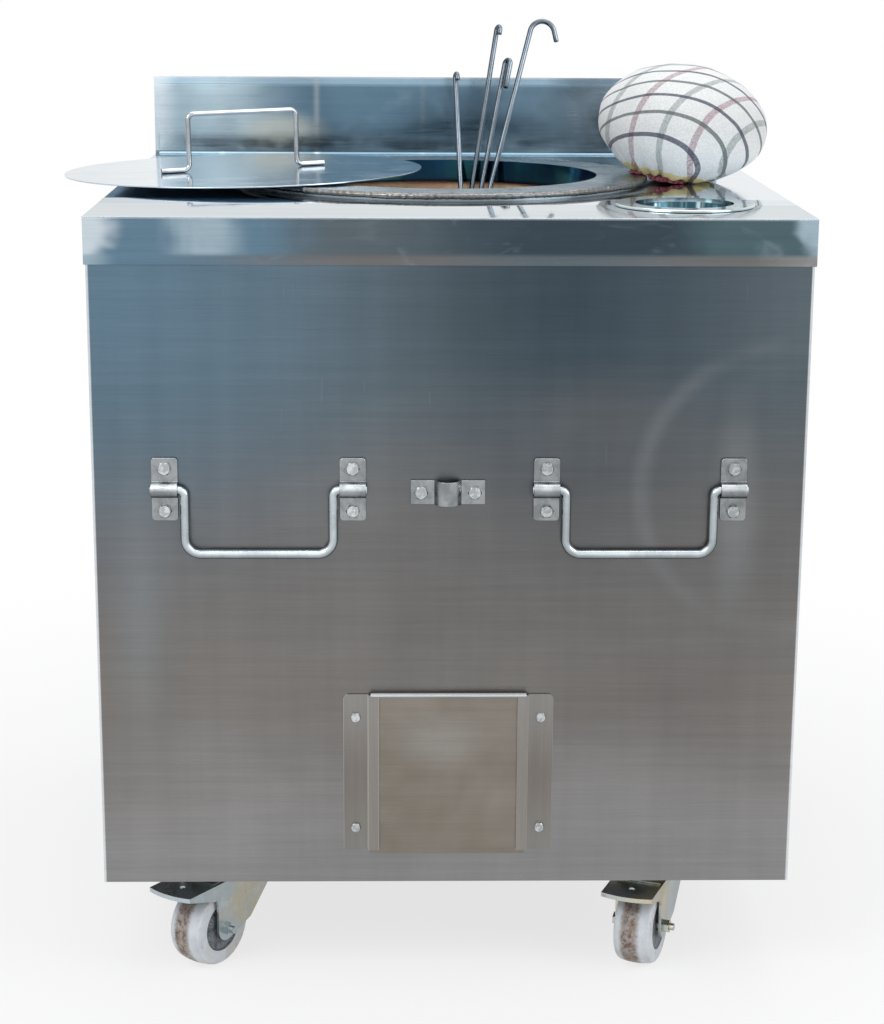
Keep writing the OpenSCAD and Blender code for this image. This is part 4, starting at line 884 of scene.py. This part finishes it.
def rod_path(node):
    """Points along a rod's middle line with the way it runs, and the line that its bend turns about."""
    top, bend, arc, tail, turn = RODS[node]
    way = joint(node + "_draw")[1]
    verts = [v.co for v in NODES[node].data.vertices]
    end = min(v.dot(way) for v in verts)
    ring = [v for v in verts if v.dot(way) < end + 0.0002]
    foot = sum(ring, Vector()) / len(ring)
    length = (TOP_Z + top * MM - foot.z) / way.z
    lean = math.atan2(way.x, way.z)
    dip = -math.asin(way.y)
    side = Vector((math.cos(lean), 0, -math.sin(lean)))
    deep = Vector((math.sin(lean) * math.sin(dip), math.cos(dip), math.cos(lean) * math.sin(dip)))
    turn = math.radians(turn)
    out = side * math.cos(turn) + deep * math.sin(turn)
    hinge = deep * math.cos(turn) - side * math.sin(turn)
    high = foot + way * length
    path = [(foot + way * length * share, way) for share in (0, 0.002, 0.5, 0.9)]
    steps = 20
    for k in range(steps + 1):
        a = math.radians(arc) * k / steps
        place = high + bend * MM * (out * (1 - math.cos(a)) + way * math.sin(a))
        path.append((place, out * math.sin(a) + way * math.cos(a)))
    last, run = path[-1]
    path += [(last + run * tail * MM * share, run) for share in (0.5, 0.9, 1.0)]
    return path, hinge


def make_rod(node):
    """A rod of round bar with its bent end, which stands for its node."""
    path, hinge = rod_path(node)
    sides = 16
    verts = []
    for i, (place, run) in enumerate(path):
        r = ROD_R * (0.75 if i in (0, len(path) - 1) else 1)
        across = run.cross(hinge)
        for k in range(sides):
            a = 2 * math.pi * k / sides
            verts.append(place + r * (hinge * math.cos(a) + across * math.sin(a)))
    faces = grid_faces(len(path), sides)
    faces.append(tuple(reversed(range(sides))))
    faces.append(tuple(range(len(verts) - sides, len(verts))))
    rod = new_piece(node + "_bar", verts, faces, NODES[node]["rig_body"], "rod_steel")
    mesh = bmesh.new()
    mesh.from_mesh(rod.data)
    bmesh.ops.recalc_face_normals(mesh, faces=mesh.faces)
    mesh.to_mesh(rod.data)
    mesh.free()
    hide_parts(node)


# Bread cushion
COVER_LOW, COVER_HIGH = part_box("cushion_cover")
# Height above and below its middle, radius, and how far it leans, in metres
CROWN, BELLY, ROUND, LEAN = 0.072, 0.067, 0.1, 0.009
GATHER_ANGLE, GATHER_TILT = math.radians(22.5), math.radians(18)
# Share of its size before it swells, how far its cloth may move and its grain in metres, and frames
START_SIZE, CLOTH_GIVE, CLOTH_GRAIN, CLOTH_FRAMES = 0.975, 0.005, 0.0045, 20
CUSHION_MID = Vector(((COVER_LOW.x + COVER_HIGH.x) / 2 - 0.006, (COVER_LOW.y + COVER_HIGH.y) / 2,
                      COVER_HIGH.z - 0.068))
GATHER_POLE = Vector((-math.sin(GATHER_TILT), 0, -math.cos(GATHER_TILT)))


def ball_point(t, a, size=1.0):
    """A point of the stuffed ball: t from the middle of the gather, a round the gather's axis."""
    x, y, z = math.sin(t) * math.cos(a), math.sin(t) * math.sin(a), -math.cos(t)
    side = x * math.cos(GATHER_TILT) + z * math.sin(GATHER_TILT)
    up = z * math.cos(GATHER_TILT) - x * math.sin(GATHER_TILT)
    height = CROWN if up > 0 else BELLY
    return CUSHION_MID + size * Vector((ROUND * side - LEAN * up, ROUND * y, height * up))


def ball_direction(place):
    """The unit direction on the round ball that a point of the cushion comes from."""
    d = place - CUSHION_MID
    up = d.z / (CROWN if d.z > 0 else BELLY)
    return Vector(((d.x + LEAN * up) / ROUND, d.y / ROUND, up)).normalized()


# How far past the ring cloth still rests on it or its bead, in millimetres, and its gap, in metres
REST_OUT, CLOTH_GAP = 4.6, 0.0006


def resting_height(place):
    """The lowest height that cloth may hang to: just above the worktop, or above the ring."""
    on_ring = math.hypot(place.x - MID_X, place.y - MID_Y) < (RING_R + REST_OUT) * MM
    return (RING_TOP * MM if on_ring else TOP_Z) + CLOTH_GAP


def gather_place(direction):
    """Angle from the middle of the gather, and angle round its axis."""
    t = math.acos(max(-1, min(1, direction.dot(GATHER_POLE))))
    side = Vector((math.cos(GATHER_TILT), 0, -math.sin(GATHER_TILT)))
    return t, math.atan2(direction.y, direction.dot(side))


def ball_mesh(size):
    """The closed ball with its gathered opening dished inward."""
    segs, rows = 96, 40
    dish = [(0.30, 0.012), (0.62, 0.011), (0.88, 0.006)]
    verts = [ball_point(0, 0, size) + Vector((0, 0, 0.012))]
    for share, lift in dish:
        verts += [ball_point(GATHER_ANGLE * share, 2 * math.pi * i / segs, size) + Vector((0, 0, lift))
                  for i in range(segs)]
    for k in range(rows):
        t = GATHER_ANGLE + (math.pi - GATHER_ANGLE) * k / rows
        verts += [ball_point(t, 2 * math.pi * i / segs, size) for i in range(segs)]
    verts.append(ball_point(math.pi, 0, size))
    rings = rows + len(dish)
    faces = [(0, 1 + i, 1 + (i + 1) % segs) for i in range(segs)]
    faces += grid_faces(rings, segs, first=1)
    last = 1 + (rings - 1) * segs
    faces += [(last + i, len(verts) - 1, last + (i + 1) % segs) for i in range(segs)]
    return verts, faces


def swell(piece):
    """Stuffs a closed cloth: inflates it by simulation and keeps every point near its start."""
    scene = bpy.context.scene
    cloth = piece.modifiers.new("cloth", "CLOTH")
    cloth.settings.quality = 6
    cloth.settings.use_pressure = True
    cloth.settings.uniform_pressure_force = 4
    cloth.settings.tension_stiffness = 25
    cloth.settings.bending_stiffness = 0.6
    cloth.settings.shrink_min = -0.03
    cloth.settings.effector_weights.gravity = 0
    start = [v.co.copy() for v in piece.data.vertices]
    for number in range(1, CLOTH_FRAMES + 1):
        scene.frame_set(number)
    apply_modifiers(piece)
    scene.frame_set(1)
    for vert, old in zip(piece.data.vertices, start):
        move = vert.co - old
        if move.length > CLOTH_GIVE:
            vert.co = old + move * (CLOTH_GIVE / move.length)


def smooth_step(value, low, high):
    """The value's place between low and high, eased at both ends."""
    share = max(0.0, min(1.0, (value - low) / (high - low)))
    return share * share * (3 - 2 * share)


def pleat_height(t, a):
    """How far the cloth stands out round the gather, in metres."""
    fade = (1 - smooth_step(t, GATHER_ANGLE, GATHER_ANGLE + math.radians(44))) ** 1.3
    phase = 22 * a + 1.6 * math.sin(3 * a + 1) + 0.9 * math.sin(7 * a)
    depth = 0.0034 * (0.6 + 0.4 * math.sin(2 * a + 0.7))
    return depth * fade * math.sin(phase) + 0.0016 * fade * math.sin(9 * a + 2)


def shape_cushion(piece):
    """Adds pleats and soft dents, and stores each point's stripe counts and its way from the gather."""
    mesh = piece.data
    layer = mesh.attributes.new("cloth", "FLOAT_VECTOR", "POINT")
    for vert, value in zip(mesh.vertices, layer.data):
        p = ball_direction(vert.co)
        t, a = gather_place(p)
        # The check turns back on itself behind the crown, so the far side is woven like the near one
        back = p.y - 2 * max(0.0, p.y) ** 2
        u = (1.61 + 2.23 * p.x - 1.25 * back - 1.36 * p.z - 0.68 * p.x * p.z - 0.4 * back * p.z
             - 0.19 * p.z ** 2)
        v = (2.6 + 1.54 * p.x + 2.0 * back + 2.54 * p.z - p.x * p.z + 0.73 * back * p.z - 0.12 * p.x * back
             + 0.32 * p.z ** 2 + 0.41 * p.x ** 2)
        value.vector = (u, v, (t - GATHER_ANGLE) * 0.09)
        if t < GATHER_ANGLE * 0.96:
            continue
        out = (vert.co - CUSHION_MID).normalized()
        soft = noise.noise(p * 1.7 + Vector((3, 1, 7))) * 0.0022 + noise.noise(p * 4.5) * 0.0006
        vert.co += out * (soft + pleat_height(t, a))
    for vert in mesh.vertices:
        vert.co.z = max(vert.co.z, resting_height(vert.co))


def make_cushion():
    """The stuffed bread cushion: a check cotton cover drawn over the pad and gathered underneath."""
    cushion = new_piece("cushion", *ball_mesh(START_SIZE), "cushion", "cushion_cloth")
    remesh = cushion.modifiers.new("remesh", "REMESH")
    remesh.mode = "VOXEL"
    remesh.voxel_size = CLOTH_GRAIN
    remesh.use_smooth_shade = True
    apply_modifiers(cushion)
    swell(cushion)
    finer = cushion.modifiers.new("finer", "SUBSURF")
    finer.levels = 1
    apply_modifiers(cushion)
    shape_cushion(cushion)
    smooth(cushion)
    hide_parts("cushion_cover")


def make_hem():
    """The ruffled binding that hangs from the gathered edge."""
    segs, rows = 360, 5
    down = (ball_point(0, 0) - CUSHION_MID).normalized()
    verts = []
    for i in range(segs):
        a = 2 * math.pi * i / segs
        root = ball_point(GATHER_ANGLE * 0.97, a)
        away = (root - CUSHION_MID - down * (root - CUSHION_MID).dot(down)).normalized()
        reach = 0.0072 + 0.0010 * math.sin(5 * a) + 0.0006 * math.sin(11 * a + 2)
        for k in range(rows):
            share = k / (rows - 1)
            wave = math.sin(34 * a + 2 * math.sin(3 * a)) + 0.6 * math.sin(17 * a + 1)
            wave *= 0.0015 * (0.3 + share)
            place = root + down * (reach * share - 0.0008) + away * (wave + 0.0012 * share)
            place.z = max(place.z, resting_height(place) + 0.0005 + 0.0001 * (rows - k))
            verts.append(place)
    faces = grid_faces(segs, rows, ring=True, tube=False)
    hem = new_piece("cushion_ruffle", verts, faces, "cushion", "hem_cloth")
    thick = hem.modifiers.new("thick", "SOLIDIFY")
    thick.thickness = 0.0009
    thick.offset = 0
    apply_modifiers(hem)
    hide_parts("cushion_hem")


def stripes(m, base, count, width, even, odd, share):
    """Woven lines over a base at whole numbers of a count: even, then odd, as strong as their share."""
    near = m.math("PINGPONG", count, 0.5)
    line = m.fit(near, width / 2 - 0.012, width / 2 + 0.012, 1, 0)
    parity = m.fit(m.math("PINGPONG", count, 1.0), 0.45, 0.55)
    return m.mix(m.times(line, share), base, m.mix(parity, even, odd))


def check_cotton():
    """White cotton with woven stripes and a mustard border at the gather, painted light on its underside
    and painted shade inside the gather.
    """
    m = Material("check_cotton")
    cloth = m.node("ShaderNodeAttribute", attribute_name="cloth").outputs["Vector"]
    u, v, edge = m.split(cloth)
    wobble = m.fit(m.noise(30, 2, 0.5, seed=1), 0.2, 0.8, -0.02, 0.02)
    threads = 2 * math.pi * 18
    crossing = m.times(m.math("SINE", m.times(u, threads)),
                      m.math("SINE", m.times(v, threads)))
    fluff = m.noise(560, 2, 0.6, seed=6)
    white = m.mix(m.fit(fluff, 0.35, 0.65), (0.66, 0.67, 0.665), (0.79, 0.80, 0.79))
    warp = m.fit(m.plus(crossing, m.fit(fluff, 0.3, 0.7, -0.6, 0.6)), -0.9, 0.9, 0.75, 0.3)
    weft = m.fit(m.plus(crossing, m.fit(fluff, 0.3, 0.7, -0.6, 0.6)), -0.9, 0.9, 0.72, 1.0)
    base = stripes(m, white, m.plus(u, wobble), 0.20, (0.15, 0.20, 0.20), (0.24, 0.07, 0.11), warp)
    base = stripes(m, base, m.plus(v, wobble), 0.17, (0.03, 0.035, 0.07), (0.09, 0.115, 0.11), weft)
    border = m.fit(m.plus(edge, m.fit(m.noise(60, 2, seed=2), 0, 1, -0.0015, 0.0015)), 0.019, 0.0205, 1, 0)
    # Painted light: lighter where the cloth faces down
    base = m.shaded(base, (0, 0, 1), [(-1.0, 1.35), (-0.6, 1.25), (0.0, 1.05), (0.5, 1.0), (1.0, 1.0)])
    base = m.mix(border, base, m.mix(1.0, (1.0, 0.82, 0.38), base, "MULTIPLY"))
    # Painted shade: dark inside the gathered opening
    base = m.mix(m.fit(edge, -0.0022, -0.0010, 1, 0), base, (0.05, 0.02, 0.025))
    base = m.mix(m.fit(crossing, -1, 1, 0, 0.16, smooth=False), base, (0.45, 0.47, 0.50))
    slub = m.noise(420, 2, 0.6, seed=8)
    height = m.plus(m.times(crossing, 0.5), slub)
    crease = m.noise(20, 3, 0.6, 1.2, seed=12)
    normal = m.bump(crease, 0.22, 0.003, m.bump(height, 0.35, 0.0003))
    m.principled(Base_Color=base, Roughness=0.92, Sheen_Weight=0.2, Sheen_Roughness=0.5,
                 Specular_IOR_Level=0.15, Normal=normal)
    return m


def hem_cloth():
    """Dark red binding with paler flecks."""
    m = Material("hem_cloth")
    fleck = m.noise(260, 3, 0.6, seed=91)
    base = m.mix(m.fit(fleck, 0.42, 0.66), (0.20, 0.025, 0.05), (0.40, 0.12, 0.16))
    m.principled(Base_Color=base, Roughness=0.9, Sheen_Weight=0.3, Normal=m.bump(fleck, 0.4, 0.0005))
    return m


def dress_nodes():
    """Gives every CAD node its own material, or else the one of its slot."""
    for name, obj in NODES.items():
        looks = SHINE[name] if name in SHINE else SHINE[SLOTS[name]]
        obj.data.materials.clear()
        obj.data.materials.append(looks.mat)


make_stage()
make_materials()
dress_nodes()
weld_bead()
for node in RODS:
    make_rod(node)
make_cushion()
make_hem()
for node, width in (("worktop", 1.2), ("backsplash", 0.5), ("ash_door", 0.5), ("left_door_rail", 0.6),
                    ("right_door_rail", 0.6)):
    rounded(node, width, flat=True)
for node, width in (("left_handle_brackets", 0.7), ("right_handle_brackets", 0.7), ("tool_loop", 0.6),
                    ("lid_disc", 0.4)):
    rounded(node, width)
